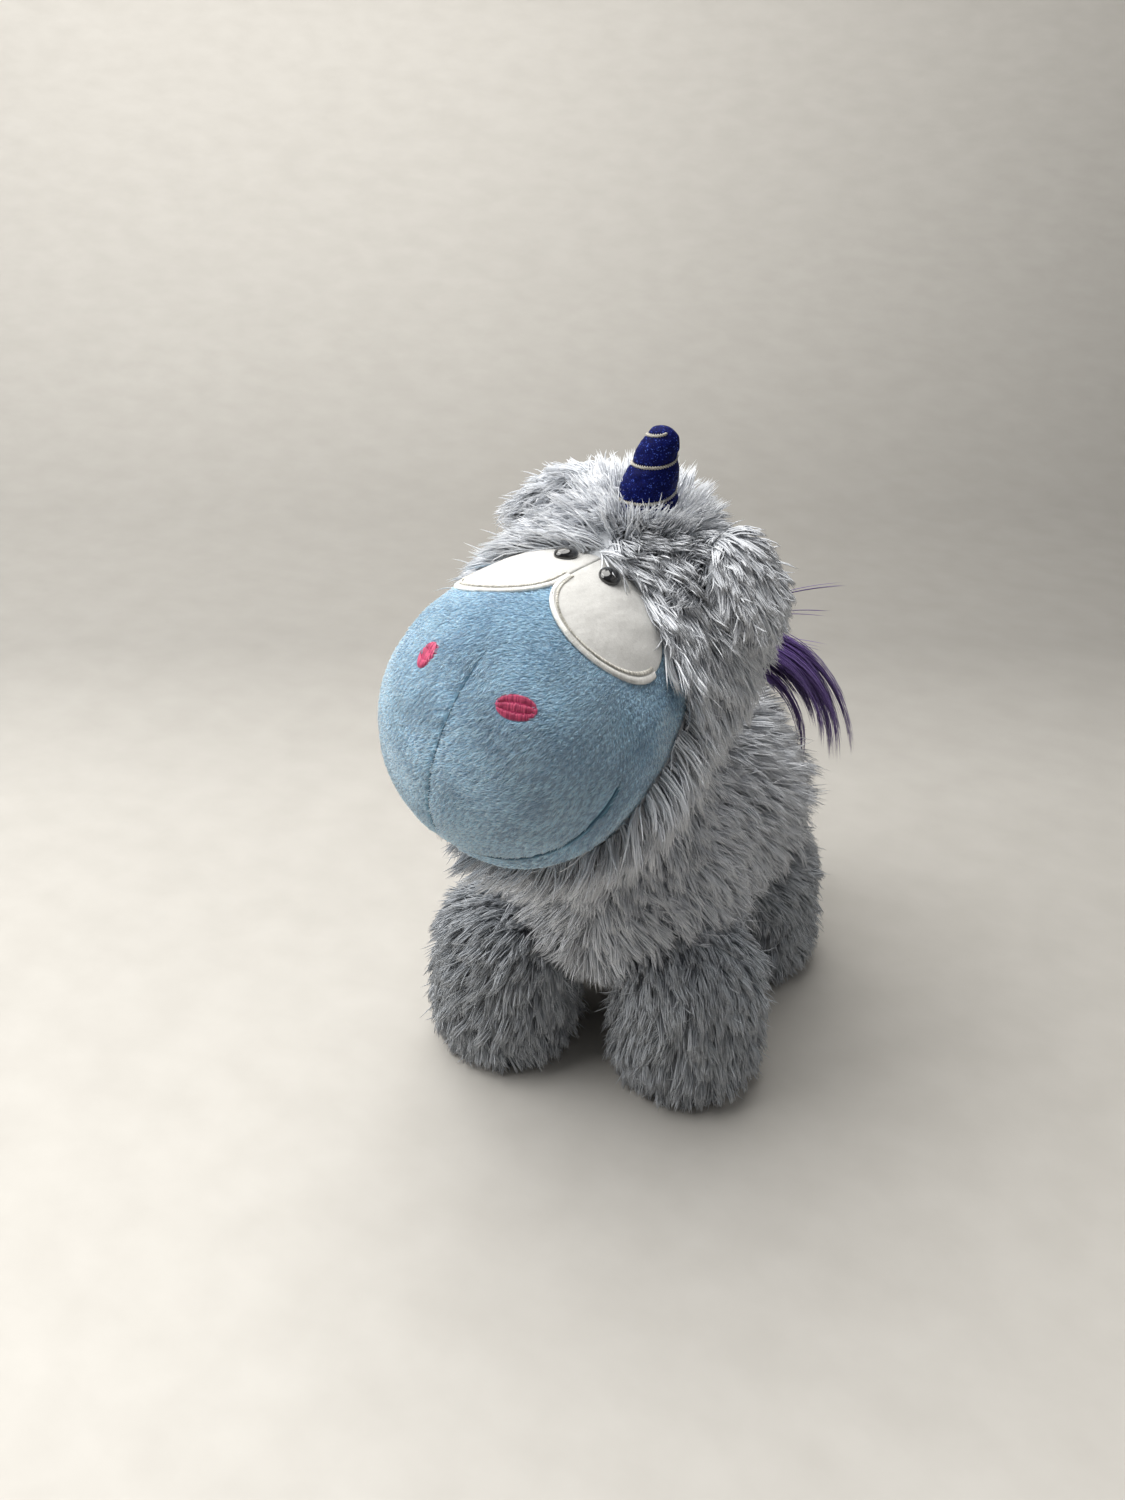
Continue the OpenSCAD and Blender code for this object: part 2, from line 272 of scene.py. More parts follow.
def grid_uv(rows, cols):
    r, c = np.meshgrid(np.linspace(0.02, 0.98, rows), np.linspace(0.02, 0.98, cols), indexing="ij")
    return np.stack([c.ravel(), r.ravel()], 1)


def corner_uv(obj, uv_of_vertex):
    index = np.empty(len(obj.data.loops), np.int32)
    obj.data.loops.foreach_get("vertex_index", index)
    set_uv(obj, np.asarray(uv_of_vertex)[index])


def first_exit(form, origin, directions, reach=120.0, steps=90):
    """How far along each direction the form ends, going out from a point inside it."""
    near = np.zeros(len(directions))
    found = np.zeros(len(directions), bool)
    for s in np.linspace(reach / steps, reach, steps):
        outside = form(origin + directions * s) > 0
        near = np.where(~found & ~outside, s, near)
        found |= outside
    low, high = near, near + reach / steps
    for _ in range(14):
        mid = (low + high) / 2
        outside = form(origin + directions * mid[:, None]) > 0
        low, high = np.where(outside, low, mid), np.where(outside, mid, high)
    return (low + high) / 2


def skin_of(form, origin, rows=48, cols=72):
    """Points and quads of the surface of a form that can be seen whole from a point inside it."""
    polar = np.linspace(0.012, math.pi - 0.012, rows)
    turn = np.arange(cols) * 2 * math.pi / cols
    t, a = np.meshgrid(polar, turn, indexing="ij")
    directions = np.stack([np.sin(t) * np.sin(a), np.sin(t) * np.cos(a), np.cos(t)], -1).reshape(-1, 3)
    points = origin + directions * first_exit(form, origin, directions)[:, None]
    return points, grid_quads(rows, cols, wrap=True)


def tube(middle, up, across, radius):
    """Points of a round tube along a centreline, in rings that lie in the plane of up and across."""
    ring = np.arange(TUBE_SIDES) * 2 * math.pi / TUBE_SIDES
    c, s = np.cos(ring)[None, :, None], np.sin(ring)[None, :, None]
    points = middle[:, None] + np.reshape(radius, (-1, 1, 1)) * (c * up[:, None] + s * across[:, None])
    return points.reshape(-1, 3)


# ---- fur ----

STATIONS = np.array([0.0, 0.24, 0.5, 0.78, 1.0])
MOST_STRANDS = 9000
MOST_PILE_HAIRS = 21000
REAR = 104.0
REAR_EASE = 4.0
FACE_GAP = 1.3
LOOSE_SHARE = 0.14
TONE_RANGE = (0.03, 0.93)
CELL_KEY = 100003


def scatter(points, quads, spacing, rng, keep=None):
    """Roots spread evenly over a skin, about spacing apart."""
    a, b, c, d = (points[quads[:, i]] for i in range(4))
    first_half, second_half = np.cross(b - a, c - a), np.cross(c - a, d - a)
    area = 0.5 * (np.linalg.norm(first_half, axis=1) + np.linalg.norm(second_half, axis=1))
    n = int(5 * area.sum() / spacing**2)
    face = rng.choice(len(quads), n, p=area / area.sum())
    u, v = rng.random((2, n, 1))
    roots = (a[face] * (1 - u) + b[face] * u) * (1 - v) + (d[face] * (1 - u) + c[face] * u) * v
    if keep is not None:
        roots = roots[keep(roots)]
    cell = np.floor(roots / (spacing * 0.94)).astype(np.int64)
    _, first = np.unique(cell @ np.array([1, CELL_KEY, CELL_KEY**2]), return_index=True)
    return roots[np.sort(first)]


def rooted(form, points, quads, spacing, rng, keep=None):
    """Roots spread over the skin of a form, and the normals there."""
    roots = scatter(points, quads, spacing, rng, keep)
    return roots, gradient(form, roots)


def drift(roots, seed, size=34):
    """The lie of the fur wanders from place to place."""
    return np.stack([waves(roots, size, seed + i, 2) for i in range(3)], 1)


def unruly(roots, rng, seed, wander, stray):
    """What turns fur out of its flow: a drift from place to place, and the way of each tuft."""
    return wander * drift(roots, seed) + stray * rng.normal(size=roots.shape)


def grow(name, body, roots, normals, comb, material, rng, length=16.0, lift=0.5, droop=0.35,
         strands=17, spread=2.4, clumping=0.6, width=0.3, wave=0.5, clear_of=None, slot="body_fur"):
    """Tufts of fur: each root grows a bundle of fine strands that draw together towards their blunt ends."""
    k = len(roots)
    length = np.broadcast_to(length, k)
    droop = np.broadcast_to(droop, k)[:, None]
    lift = np.broadcast_to(lift, k)[:, None]
    start = unit(normals * lift + comb * (1 - lift) + 0.16 * rng.normal(size=(k, 3)))
    end = unit(comb * 0.9 + normals * (0.1 + 0.35 * lift) - UP * droop + 0.18 * rng.normal(size=(k, 3)))
    long = length * rng.uniform(0.8, 1.12, k)
    side = unit(np.cross(comb, normals) + 1e-6)
    each = (k, strands, 3)
    angle = rng.uniform(0, 2 * math.pi, each[:2])
    place = round_z(spread * np.sqrt(rng.random(each[:2])), angle, 0 * angle)
    offset = place[..., :1] * side[:, None] + place[..., 1:2] * comb[:, None]
    loose = (rng.random((k, strands, 1)) < LOOSE_SHARE) * 1.0
    astray = (0.08 + 0.22 * loose) * rng.normal(size=each)
    own_start = unit(start[:, None] + 0.16 * offset / spread + astray)
    own_end = unit(end[:, None] + (0.1 + 0.35 * loose) * rng.normal(size=each))
    own_long = long[:, None] * (1 - 0.3 * rng.random(each[:2]) ** 1.6)
    s = STATIONS[None, None, :, None]

    def path(origin, first, last, far):
        return origin + far * (first * (s - s * s / 2) + last * s * s / 2)

    far = own_long[:, :, None, None]
    own = path((roots[:, None] + offset)[:, :, None], own_start[:, :, None], own_end[:, :, None], far)
    guide = path(roots[:, None, None], start[:, None, None], end[:, None, None], far)
    pull = clumping * (1 - 0.85 * loose[:, :, None]) * (1 - (1 - s) ** 2.2)
    points = own * (1 - pull) + guide * pull
    phase, pitch = rng.uniform(0, 6.28, (2, k, strands, 1, 1))
    sway = unit(rng.normal(size=(k, strands, 1, 3)))
    points = points + wave * s * np.sin(2 * math.pi * s * (0.5 + 0.1 * pitch) + phase) * sway
    points = points.reshape(k * strands, len(STATIONS), 3)
    if clear_of is not None:
        for _ in range(2):
            depth = clear_of(points)
            points = points + np.maximum(FACE_GAP - depth, 0)[..., None] * gradient(clear_of, points)
    points[..., 2] = np.maximum(points[..., 2], 0.4 + 0.6 * rng.random((k * strands, 1)))
    past = np.maximum(points[..., 1] - REAR, 0)
    points[..., 1] -= past - REAR_EASE * (1 - np.exp(-past / REAR_EASE))
    thick = width * rng.uniform(0.75, 1.25, (k * strands, 1)) * (1 - STATIONS**3) ** 0.5
    tone = np.repeat(rng.normal(0.5, 0.15, k), strands) + rng.normal(0, 0.11, k * strands)
    strand_pieces(name, body, points, thick, np.clip(tone, *TONE_RANGE), material, rng)


def strand_pieces(name, body, points, thick, tone, material, rng, most=MOST_STRANDS):
    """Turns strand centrelines into three-sided tapered hairs, in pieces of a size that exports whole."""
    order = rng.permutation(len(points))
    for part, chosen in enumerate(np.array_split(order, max(1, math.ceil(len(points) / most)))):
        obj = strand_object(f"{name}_{part + 1}", points[chosen], thick[chosen], tone[chosen])
        dress(obj, material, body)


def strand_object(name, points, thick, tone):
    """Three-sided hairs that end in a point, one along each row of points, all as one object."""
    n, m = points.shape[:2]
    along = unit(np.gradient(points, axis=1))
    helper = np.where(np.abs(along[:, :1, 2:]) > 0.8, np.array([1.0, 0, 0]), UP)
    a = unit(np.cross(along, helper))
    b = np.cross(along, a)
    rings = []
    for corner in range(3):
        angle = corner * 2 * math.pi / 3
        rings.append(points + thick[..., None] * (math.cos(angle) * a + math.sin(angle) * b))
    body = np.stack(rings, 2)[:, :-1].reshape(n, (m - 1) * 3, 3)
    verts = np.concatenate([body, points[:, -1:]], 1)
    per = (m - 1) * 3 + 1
    quads, quad_uv, tris, tri_uv = [], [], [], []
    for i in range(m - 2):
        for c in range(3):
            d = (c + 1) % 3
            quads.append([i * 3 + c, i * 3 + d, i * 3 + 3 + d, i * 3 + 3 + c])
            quad_uv.append([[c, i], [c + 1, i], [c + 1, i + 1], [c, i + 1]])
    for c in range(3):
        tris.append([(m - 2) * 3 + c, (m - 2) * 3 + (c + 1) % 3, per - 1])
        tri_uv.append([[c, m - 2], [c + 1, m - 2], [c + 0.5, m - 1]])
    base = (np.arange(n) * per)[:, None, None]
    level = np.clip(STATIONS if m == len(STATIONS) else np.linspace(0, 1, m), 0.01, 0.99)

    def place(pattern):
        pattern = np.array(pattern, float)
        across = tone[:, None, None] + pattern[None, ..., 0] * 0.015
        return np.stack([across, np.broadcast_to(level[pattern[..., 1].astype(int)], across.shape)], -1)

    obj = mesh_object(name, verts.reshape(-1, 3), np.array(quads) + base, np.array(tris) + base)
    set_uv(obj, np.concatenate([place(quad_uv).reshape(-1, 2), place(tri_uv).reshape(-1, 2)]))
    return obj


# ---- material tools ----


class Tree:
    """A short way to write a node tree."""

    def __init__(self, name, **sockets):
        self.material = bpy.data.materials.new(name)
        self.material.use_nodes = True
        self.nodes = self.material.node_tree.nodes
        self.links = self.material.node_tree.links
        self.shader = self.nodes["Principled BSDF"]
        for key, value in sockets.items():
            self.shader.inputs[key.replace("_", " ")].default_value = value

    def feed(self, socket, value):
        """Links another node's output to a socket, or sets the socket to a value."""
        if isinstance(value, bpy.types.NodeSocket):
            self.links.new(value, socket)
        else:
            socket.default_value = value

    def add(self, kind, inputs=None, **settings):
        node = self.nodes.new("ShaderNode" + kind)
        for key, value in settings.items():
            setattr(node, key, value)
        for key, value in (inputs or {}).items():
            self.feed(node.inputs[key], value)
        return node

    def strand_place(self):
        """X runs from strand to strand, and Y from root to tip."""
        uv = self.add("UVMap", uv_map="OFBake").outputs[0]
        return self.add("SeparateXYZ", {"Vector": uv}).outputs

    def place(self, stretch=(1, 1, 1), turn=(0, 0, 0), coords=None):
        """The piece's own coordinates in metres, or others, turned and stretched."""
        coords = coords or self.add("TexCoord").outputs["Object"]
        return self.add("Mapping", {"Vector": coords, "Scale": stretch, "Rotation": turn}).outputs[0]

    def noise(self, scale, vector=None, detail=3.0, rough=0.5, warp=0.0):
        inputs = {"Scale": scale, "Detail": detail, "Roughness": rough, "Distortion": warp}
        if vector is not None:
            inputs["Vector"] = vector
        return self.add("TexNoise", inputs).outputs["Fac"]

    def ramp(self, fac, *stops):
        node = self.add("ValToRGB", {"Fac": fac})
        points = node.color_ramp.elements
        while len(points) < len(stops):
            points.new(0.5)
        for point, (position, colour) in zip(points, stops):
            point.position = position
            point.color = (*colour, 1)
        return node.outputs["Color"]

    def greys(self, fac, *stops):
        return self.ramp(fac, *((position, (v, v, v)) for position, v in stops))

    def times(self, a, b):
        """One colour multiplied by another."""
        node = self.add("Mix", data_type="RGBA", blend_type="MULTIPLY")
        for socket, value in zip((node.inputs[0], node.inputs[6], node.inputs[7]), (1.0, a, b)):
            self.feed(socket, value)
        return node.outputs[2]

    def math(self, operation, a, b):
        node = self.add("Math", operation=operation)
        for socket, value in zip(node.inputs, (a, b)):
            self.feed(socket, value)
        return node.outputs[0]

    def colour(self, output):
        self.links.new(output, self.shader.inputs["Base Color"])

    def bump(self, height, strength, distance):
        node = self.add("Bump", {"Height": height, "Strength": strength, "Distance": distance})
        self.links.new(node.outputs[0], self.shader.inputs["Normal"])


def strand_material(name, root, middle, tip, dark, light, roughness=0.85, sheen=0.2, shine=0.12):
    """Colour along each strand, from root to tip, and from strand to strand."""
    t = Tree(name, Roughness=roughness, Sheen_Weight=sheen, Sheen_Roughness=0.4, Specular_IOR_Level=shine)
    place = t.strand_place()
    along = t.ramp(place["Y"], (0.0, root), (0.42, middle), (1.0, tip))
    t.colour(t.times(along, t.ramp(place["X"], (0.1, dark), (0.9, light))))
    return t.material


def wool_material(name, low, high, scale=420.0, bump=0.6):
    """The short dense undercoat at the roots of the fur."""
    t = Tree(name, Roughness=0.9, Sheen_Weight=0.3, Specular_IOR_Level=0.2)
    fine = t.noise(scale, t.place((1, 1, 0.35)), 4, 0.65, 0.6)
    t.colour(t.ramp(fine, (0.3, low), (0.72, high)))
    t.bump(fine, bump, 0.0012)
    return t.material


FUR_TONES = (0.86, 0.865, 0.88), (1.06, 1.06, 1.06)
FUR = strand_material("shaggy_fur", (0.64, 0.665, 0.7), (0.745, 0.77, 0.81), (0.81, 0.83, 0.865), *FUR_TONES)
# The legs' fur is the body's fur made darker: painted shade on legs that stand under the body.
SHADED_LEG_FUR = strand_material("leg_fur", (0.45, 0.475, 0.515), (0.48, 0.51, 0.545), (0.53, 0.555, 0.59),
                          *FUR_TONES)
UNDERCOAT = wool_material("undercoat", (0.56, 0.585, 0.62), (0.72, 0.75, 0.79))


# ---- furry bodies ----

UNDER_FUR = 0.8


def furry_skin(name, body, points, quads, nodes):
    """The fabric under the fur: a lumpy skin in place of the plain CAD cover."""
    dress(mesh_object(name, points, quads), UNDERCOAT, body, nodes)


def lumpy(points, form, height, seed):
    """A skin raised and sunk in soft lumps."""
    normals = gradient(form, points)
    return points + normals * (height * waves(points, 26, seed))[:, None]


def make_torso():
    rng = np.random.default_rng(11)
    middle = (CHEST + RUMP) / 2
    points, quads = skin_of(torso_form, middle, 60, 90)
    skin = lumpy(points, torso_form, 0.5, 1) - gradient(torso_form, points) * UNDER_FUR
    furry_skin("torso_skin", "torso", skin, quads,
               ["torso_cover_left", "torso_cover_right", "belly_panel"])

    def keep(p):
        under_neck = np.hypot(p[:, 0] - PIVOT[0], p[:, 1] - PIVOT[1]) < NECK_R - 8
        return ~(under_neck & (p[:, 2] > TORSO_Z))

    roots, normals = rooted(torso_form, points, quads, 3.9, rng, keep)
    across = np.tanh((roots[:, :1] - CHEST[0]) / 14)
    back = ease(roots[:, 1:2], CHEST[1] - 30, CHEST[1] + 30)
    flow = np.concatenate([0.75 * across, 0.4 * back, -0.85 + 0 * back], 1)
    comb = laid(flow + unruly(roots, rng, 201, 0.5, 0.22), normals)
    to_leg = np.min([leg_form(leg)(roots) for leg in LEGS], axis=0)
    over_leg = 1 - ease(to_leg, 3, 14)
    rear = ease(roots[:, 1], CHEST[1], CHEST[1] + 40)
    flank = ease(normals @ unit(np.array([0.7, 0.3, 0.65])), 0.2, 0.85) * rear
    grow("torso_fur", "torso", roots, normals, comb, FUR, rng, length=17.5 + 6.5 * over_leg + 8 * flank,
         lift=0.54 + 0.32 * flank - 0.14 * over_leg, droop=0.28 + 0.12 * over_leg - 0.2 * flank)


def make_neck():
    rng = np.random.default_rng(12)
    middle = np.array([PIVOT[0], PIVOT[1], TORSO_Z + 36])
    points, quads = skin_of(neck_form, middle, 40, 64)
    skin = points - gradient(neck_form, points) * UNDER_FUR
    furry_skin("neck_skin", "neck", skin, quads, ["neck_cover"])

    def keep(p):
        return (face_in_place(p) > 1) & (head_form(to_head(p)) > -2) & (p[:, 2] > TORSO_Z + 12)

    roots, normals = rooted(neck_form, points, quads, 3.9, rng, keep)
    comb = laid(-UP + unruly(roots, rng, 205, 0.4, 0.2), normals)
    grow("neck_fur", "neck", roots, normals, comb, FUR, rng, length=21, lift=0.56, droop=0.3,
         clear_of=face_in_place)


def fur_edge(p):
    """How far a point of the head lies behind the line where the fur fabric begins, above zero in the fur."""
    x, z = p[..., 0], p[..., 2]
    low = ease(-z, 5, 18)
    left_cheek = ease(x, 18, 36) * ease(-z, -6, 6)
    right_jowl = ease(-x, -6, 16) * ease(-z, 12, 28)
    line = 26 + 12 * ease(z, 7, 26) + 10 * low + 3.5 * left_cheek - 9 * right_jowl
    return line - p @ SEAM_NORMAL


def whole_head(p):
    return blend_min(face_form(p), head_form(p), 6.0)


def skin_above(xy):
    """The places on top of the head over points in plan, and the normals there."""
    p = np.concatenate([xy, np.full((len(xy), 1), HEAD_R)], 1)
    for _ in range(4):
        p[:, 2] -= whole_head(p)
    return p, gradient(whole_head, p)


def grow_on_head(name, roots, normals, comb, rng, **habit):
    """Fur of the head, from roots and directions in the head's own frame."""
    grow(name, "head", from_head(roots), normals @ HEAD_TURN.T, comb @ HEAD_TURN.T, FUR, rng, **habit)


def make_head():
    rng = np.random.default_rng(13)
    points, quads = skin_of(whole_head, np.array([0, -20.0, -2.0]), 90, 120)
    normals = gradient(whole_head, points)
    height = -1.6 + 2.4 * ease(fur_edge(points), -1.5, 2.5)
    furry_skin("head_skin", "head", from_head(points + normals * height[:, None]), quads,
               ["head_cover_left", "head_cover_right"])
    make_head_fur(points, quads, rng)
    make_forelock(points, quads, rng)
    make_horn_ruff(90, rng)


def make_head_fur(points, quads, rng):
    """Fur combed back from the face and down from the crown, parted above the nose, upright at the horn."""

    def keep(p):
        to_horn = np.hypot(p[:, 0], p[:, 1] - HORN_FOOT[1]) + (p[:, 2] < 0) * 99
        return (fur_edge(p) > 0) & (to_horn > HORN_R - 1)

    roots, normals = rooted(whole_head, points, quads, 3.6, rng, keep)
    x, y, z = roots.T
    edge = fur_edge(roots)
    crown = np.array([0, -4, HEAD_R + 6])
    away = laid(roots - crown, normals)
    face_way = laid(SEAM_NORMAL, normals, 1e-6)
    near = 1 - ease(edge, 2, 16)
    flow = away + unruly(roots, rng, 209, 0.22, 0.07)
    top = ease(z, 18, 34)
    inward = np.maximum(np.sum(flow * face_way, -1), 0) * near * (0.2 + 0.66 * top)
    parting = np.tanh(x / 5) * top * (1 - ease(np.abs(x), 10, 24)) * (y < 0)
    flow = flow - inward[:, None] * face_way + 0.8 * parting[:, None] * np.array([1.0, 0, 0])
    comb = laid(flow, normals)
    by_horn = 1 - ease(np.linalg.norm(roots - HORN_FOOT, axis=1), HORN_R + 2, HORN_R + 12)
    by_horn = by_horn * (1 - 0.75 * ease(-y, 6, 16))
    back = ease(y, -12, 24) * (1 - by_horn)
    cheek = ease(x, 16, 34) * ease(-z, -14, 6) * (1 - ease(edge, 8, 22))
    grow_on_head("head_fur", roots, normals, comb, rng,
                 length=19 - 2 * near * top - 3 * by_horn - 4 * back + 3 * cheek,
                 lift=0.54 - 0.1 * near * top + 0.42 * by_horn - 0.14 * back + 0.18 * cheek,
                 droop=0.22 - 0.7 * by_horn, clear_of=face_in_place)


def make_forelock(points, quads, rng):
    """More tufts in a band across the forehead, that fall forwards over the eye patches."""

    def keep(p):
        return (np.abs(fur_edge(p) - 17) < 9) & (np.abs(p[:, 0]) < 27) & (p[:, 2] > 14)

    roots, normals = rooted(whole_head, points, quads, 3.5, rng, keep)
    apart = 0.55 * np.tanh(roots[:, :1] / 7) * [1, 0, 0]
    comb = laid(SEAM_NORMAL + apart + 0.15 * drift(roots, 215), normals)
    grow_on_head("forelock", roots, normals, comb, rng, length=8.5 + 0.5 * fur_edge(roots), lift=0.52,
                 droop=0.15, clear_of=face_in_place)


def make_horn_ruff(tufts, rng):
    """Upright tufts close round the horn's foot."""
    turn = rng.uniform(0, 2 * math.pi, tufts)
    around = np.stack([np.cos(turn), np.sin(turn)], 1) * rng.uniform(HORN_R - 0.5, HORN_R + 4, (tufts, 1))
    roots, normals = skin_above(around + HORN_FOOT[:2])
    outwards = (roots - HORN_FOOT) * [1, 1, 0]
    comb = laid(outwards + 4 * rng.normal(size=roots.shape), normals)
    grow_on_head("horn_ruff", roots, normals, comb, rng, length=17.5, lift=0.92, droop=-1.05, strands=15,
                 clumping=0.5, wave=0.8)


def make_leg(leg, seed):
    rng = np.random.default_rng(seed)
    form = leg_form(leg)
    hip = joint_pos(leg + "_swing")
    points, quads = skin_of(form, hip * [1, 1, 0.7], 44, 60)
    furry_skin(leg + "_skin", leg, lumpy(points, form, 0.3, seed), quads, [leg + "_cover"])

    def keep(p):
        return (p[:, 2] > 3) & (torso_form(p) > -4)

    roots, normals = rooted(form, points, quads, 3.8, rng, keep)
    outward = unit((hip - (CHEST + RUMP) / 2) * [1, 1, 0])
    top = ease(roots[:, 2:3], 40, 60)
    flow = -UP + (0.3 + 2.2 * top) * outward + unruly(roots, rng, 213, 0.5, 0.22)
    comb = laid(flow, normals, 1e-3)
    low = ease(roots[:, 2], 26, 4)
    grow(leg + "_fur", leg, roots, normals, comb, SHADED_LEG_FUR, rng, length=16 - 4.5 * low - 2 * top[:, 0],
         lift=0.48 + 0.14 * low, droop=0.35 - 0.25 * low, slot="leg_fur")


def ear_place(side):
    """The frame of an ear: its centre, and axes down the ear, along the head and outwards."""
    lateral = Matrix.Rotation(side * EAR_SIDE, 3, "Y") @ Matrix.Rotation(-EAR_BACK, 3, "X")
    axes = HEAD_TURN @ np.array(lateral)
    return from_head(np.array(lateral) @ [0, 0, HEAD_R + 1.2 + EAR_HALF_T]), axes


def make_ear(side, seed):
    rng = np.random.default_rng(seed)
    name = "ear_left" if side > 0 else "ear_right"
    centre, axes = ear_place(side)
    stretch = np.array([1, 1, EAR_R / EAR_HALF_T])

    def form(p):
        return (np.linalg.norm(p * stretch, axis=-1) - EAR_R + UNDER_FUR) / stretch[2] ** 0.5

    points, quads = skin_of(form, np.zeros(3), 36, 60)
    furry_skin(name + "_skin", name, points @ axes.T + centre, quads, [name + "_fur", name + "_lining"])
    roots, normals = rooted(form, points, quads, 3.4, rng)
    root_point = np.array([-side * EAR_R * 1.5, 0, 0])
    outer = normals[:, 2] > -0.3
    flow = unit(roots - root_point) + 0.2 * rng.normal(size=roots.shape)
    comb = laid(flow, normals, 1e-3)
    grow(name + "_fur", name, roots @ axes.T + centre, normals @ axes.T, comb @ axes.T, FUR, rng,
         length=np.where(outer, 12, 9), lift=np.where(outer, 0.26, 0.2), droop=0.35)


# ---- face ----

CHIN_SEAM = 13.3
CHIN_ANGLE = math.acos(CHIN_SEAM / MUZZLE_R)
STRIP_OUT, STRIP_BACK, STRIP_IN = 8.5, 22.0, 17.35
BEAD_HALF_W, BEAD_HALF_H, BEAD_HALF_T = 3.9, 3.5, 2.2
NOSTRIL_OUT = math.radians(29)
NOSTRIL_RISE = math.radians(42)
NOSTRIL_HALF = {1: (6.0, 3.9), -1: (2.7, 4.5)}


def groove(d, width):
    """1 in the middle of a groove, and nearly 0 past its width on either side."""
    return np.exp(-((d / width) ** 2))


def from_chin_seam(p):
    """How far in front of the chin seam's plane a point lies."""
    return (p - MUZZLE_POS) @ SEAM_NORMAL - CHIN_SEAM


def face_seams(p):
    """How far the seams pull the face in: along the middle of the muzzle, and round the chin."""
    low = 1 - ease(p[..., 2], 24, 36)
    front = ease(-p[..., 1], 40, 62)
    pucker = 1 + 0.3 * np.sin(p[..., 2] * 1.9) * np.sin(p[..., 2] * 0.53 + 1)
    x = np.abs(p[..., 0])
    middle = low * front * (0.75 * groove(x, 0.55) + 0.5 * pucker * groove(x, 3.4))
    d = from_chin_seam(p)
    under = 1 - ease(p[..., 2], -8, 6)
    chin = under * (groove(d, 0.6) + (0.7 + 0.25 * np.sin(p[..., 0] * 1.7)) * groove(d, 3.2))
    jowl = under * 1.7 * groove(d + 6, 4.5)
    return middle + chin - jowl


def face_surface(directions):
    """Points of the face in the head's frame, along directions from the muzzle's middle."""
    far = first_exit(face_form, MUZZLE_POS, directions, 100, 60)
    plain = MUZZLE_POS + directions * far[:, None]
    soft = 0.35 * waves(plain, 30, 5, 2)
    return plain + directions * (soft - face_seams(plain))[:, None]


def face_panel(polar, turn):
    """A patch of the face, by angles from the pole that faces the chin seam, and around it."""
    t, a = np.meshgrid(polar, turn, indexing="ij")
    side = np.array([1.0, 0, 0])
    t, a = t[..., None], a[..., None]
    directions = np.cos(t) * SEAM_NORMAL + np.sin(t) * (np.sin(a) * side + np.cos(a) * SEAM_UP)
    return face_surface(directions.reshape(-1, 3))


def face_piece(name, polar, turn, node, facing=1):
    """A cover of the face, over a range of angles."""
    quads = grid_quads(len(polar), len(turn))[:, ::facing]
    obj = mesh_object(name, from_head(face_panel(polar, turn)), quads)
    corner_uv(obj, grid_uv(len(polar), len(turn)))
    dress(obj, MINKY, "head", [node])


def make_face():
    v = np.linspace(0, 1, 110)
    polar = np.concatenate([[0.004], CHIN_ANGLE * (1 - (1 - v[1:]) ** 1.7)])
    u = np.linspace(0, 1, 150)
    half_turn = math.pi * (u - 0.12 * np.sin(2 * math.pi * u))
    for side, name in ((1, "left"), (-1, "right")):
        turn = side * half_turn
        face_piece("muzzle_panel_" + name, polar, turn, "muzzle_cover_" + name, side)
    polar = CHIN_ANGLE + (math.radians(152) - CHIN_ANGLE) * np.linspace(0, 1, 70) ** 1.6
    face_piece("chin_cover", polar, np.linspace(0, 2 * math.pi, 260), "chin_panel")


def bare_of_pile(p):
    """True under an eye patch or a nostril, and in a seam."""
    dx, dy = np.abs(p[:, 0]) - PATCH_POS[0], p[:, 1] - PATCH_POS[1]
    edge = patch_edge(1, np.arctan2(dy, dx)) - PATCH_POS
    bare = (np.hypot(dx, dy) < np.hypot(edge[:, 0], edge[:, 1]) + 0.3) & (p[:, 2] > 5)
    for side in (1, -1):
        bare |= nostril_reach(side, p) < 1.0
    bare |= (np.abs(p[:, 0]) < 0.6) & (p[:, 2] < 24)
    return bare | ((np.abs(from_chin_seam(p) - 0.2) < 1.1) & (p[:, 2] < -3))


def make_pile():
    """The short pile of the plush, brushed one way and mussed into small patches, with painted light that
    makes it lighter towards the animal's right and below.
    """
    rng = np.random.default_rng(17)
    polar = np.linspace(0.01, math.radians(112), 120)
    turn = np.linspace(0, 2 * math.pi, 200)
    quads = grid_quads(len(polar), len(turn))
    roots = scatter(face_panel(polar, turn), quads, 0.46, rng, lambda p: fur_edge(p) < 3)
    roots = roots[~bare_of_pile(roots)]
    normals = gradient(face_form, roots)
    lie = unit(np.array([-0.7, -0.6, -1.0]))
    nap = laid(lie, normals) + 0.45 * drift(roots, 91, 30)
    tuft = drift(roots, 96, 2.0)
    comb = laid(nap + 0.22 * tuft + 0.13 * rng.normal(size=roots.shape), normals)
    streaks = waves(roots - (roots @ lie)[:, None] * lie * 0.72, 1.15, 99, 2)
    # Painted light: the pile's tone rises towards the animal's right and below.
    painted_light = ease(-roots @ unit(np.array([0.7, 0.0, 0.7])), -24, 40)
    patches = 0.2 * waves(roots, 20, 94) + 0.8 * streaks
    tone = np.clip(0.42 + 0.36 * painted_light + patches + 0.08 * rng.normal(size=len(roots)), *TONE_RANGE)
    lean = (0.76 + 0.08 * waves(roots, 16, 95) + 0.05 * tuft[:, 0])[:, None]
    way = unit(normals * (1 - lean) + comb * lean + 0.1 * rng.normal(size=roots.shape))
    long = rng.uniform(1.4, 2.2, (len(roots), 1, 1))
    s = np.array([-0.15, 0.5, 1.0])[None, :, None]
    strands = roots[:, None] + way[:, None] * long * s - normals[:, None] * 0.25 * s**2
    thick = np.broadcast_to(0.16 * np.array([1.0, 0.85, 0.0]), strands.shape[:2])
    strand_pieces("plush_pile", "head", from_head(strands), thick, tone, PILE, rng,
                  MOST_PILE_HAIRS)


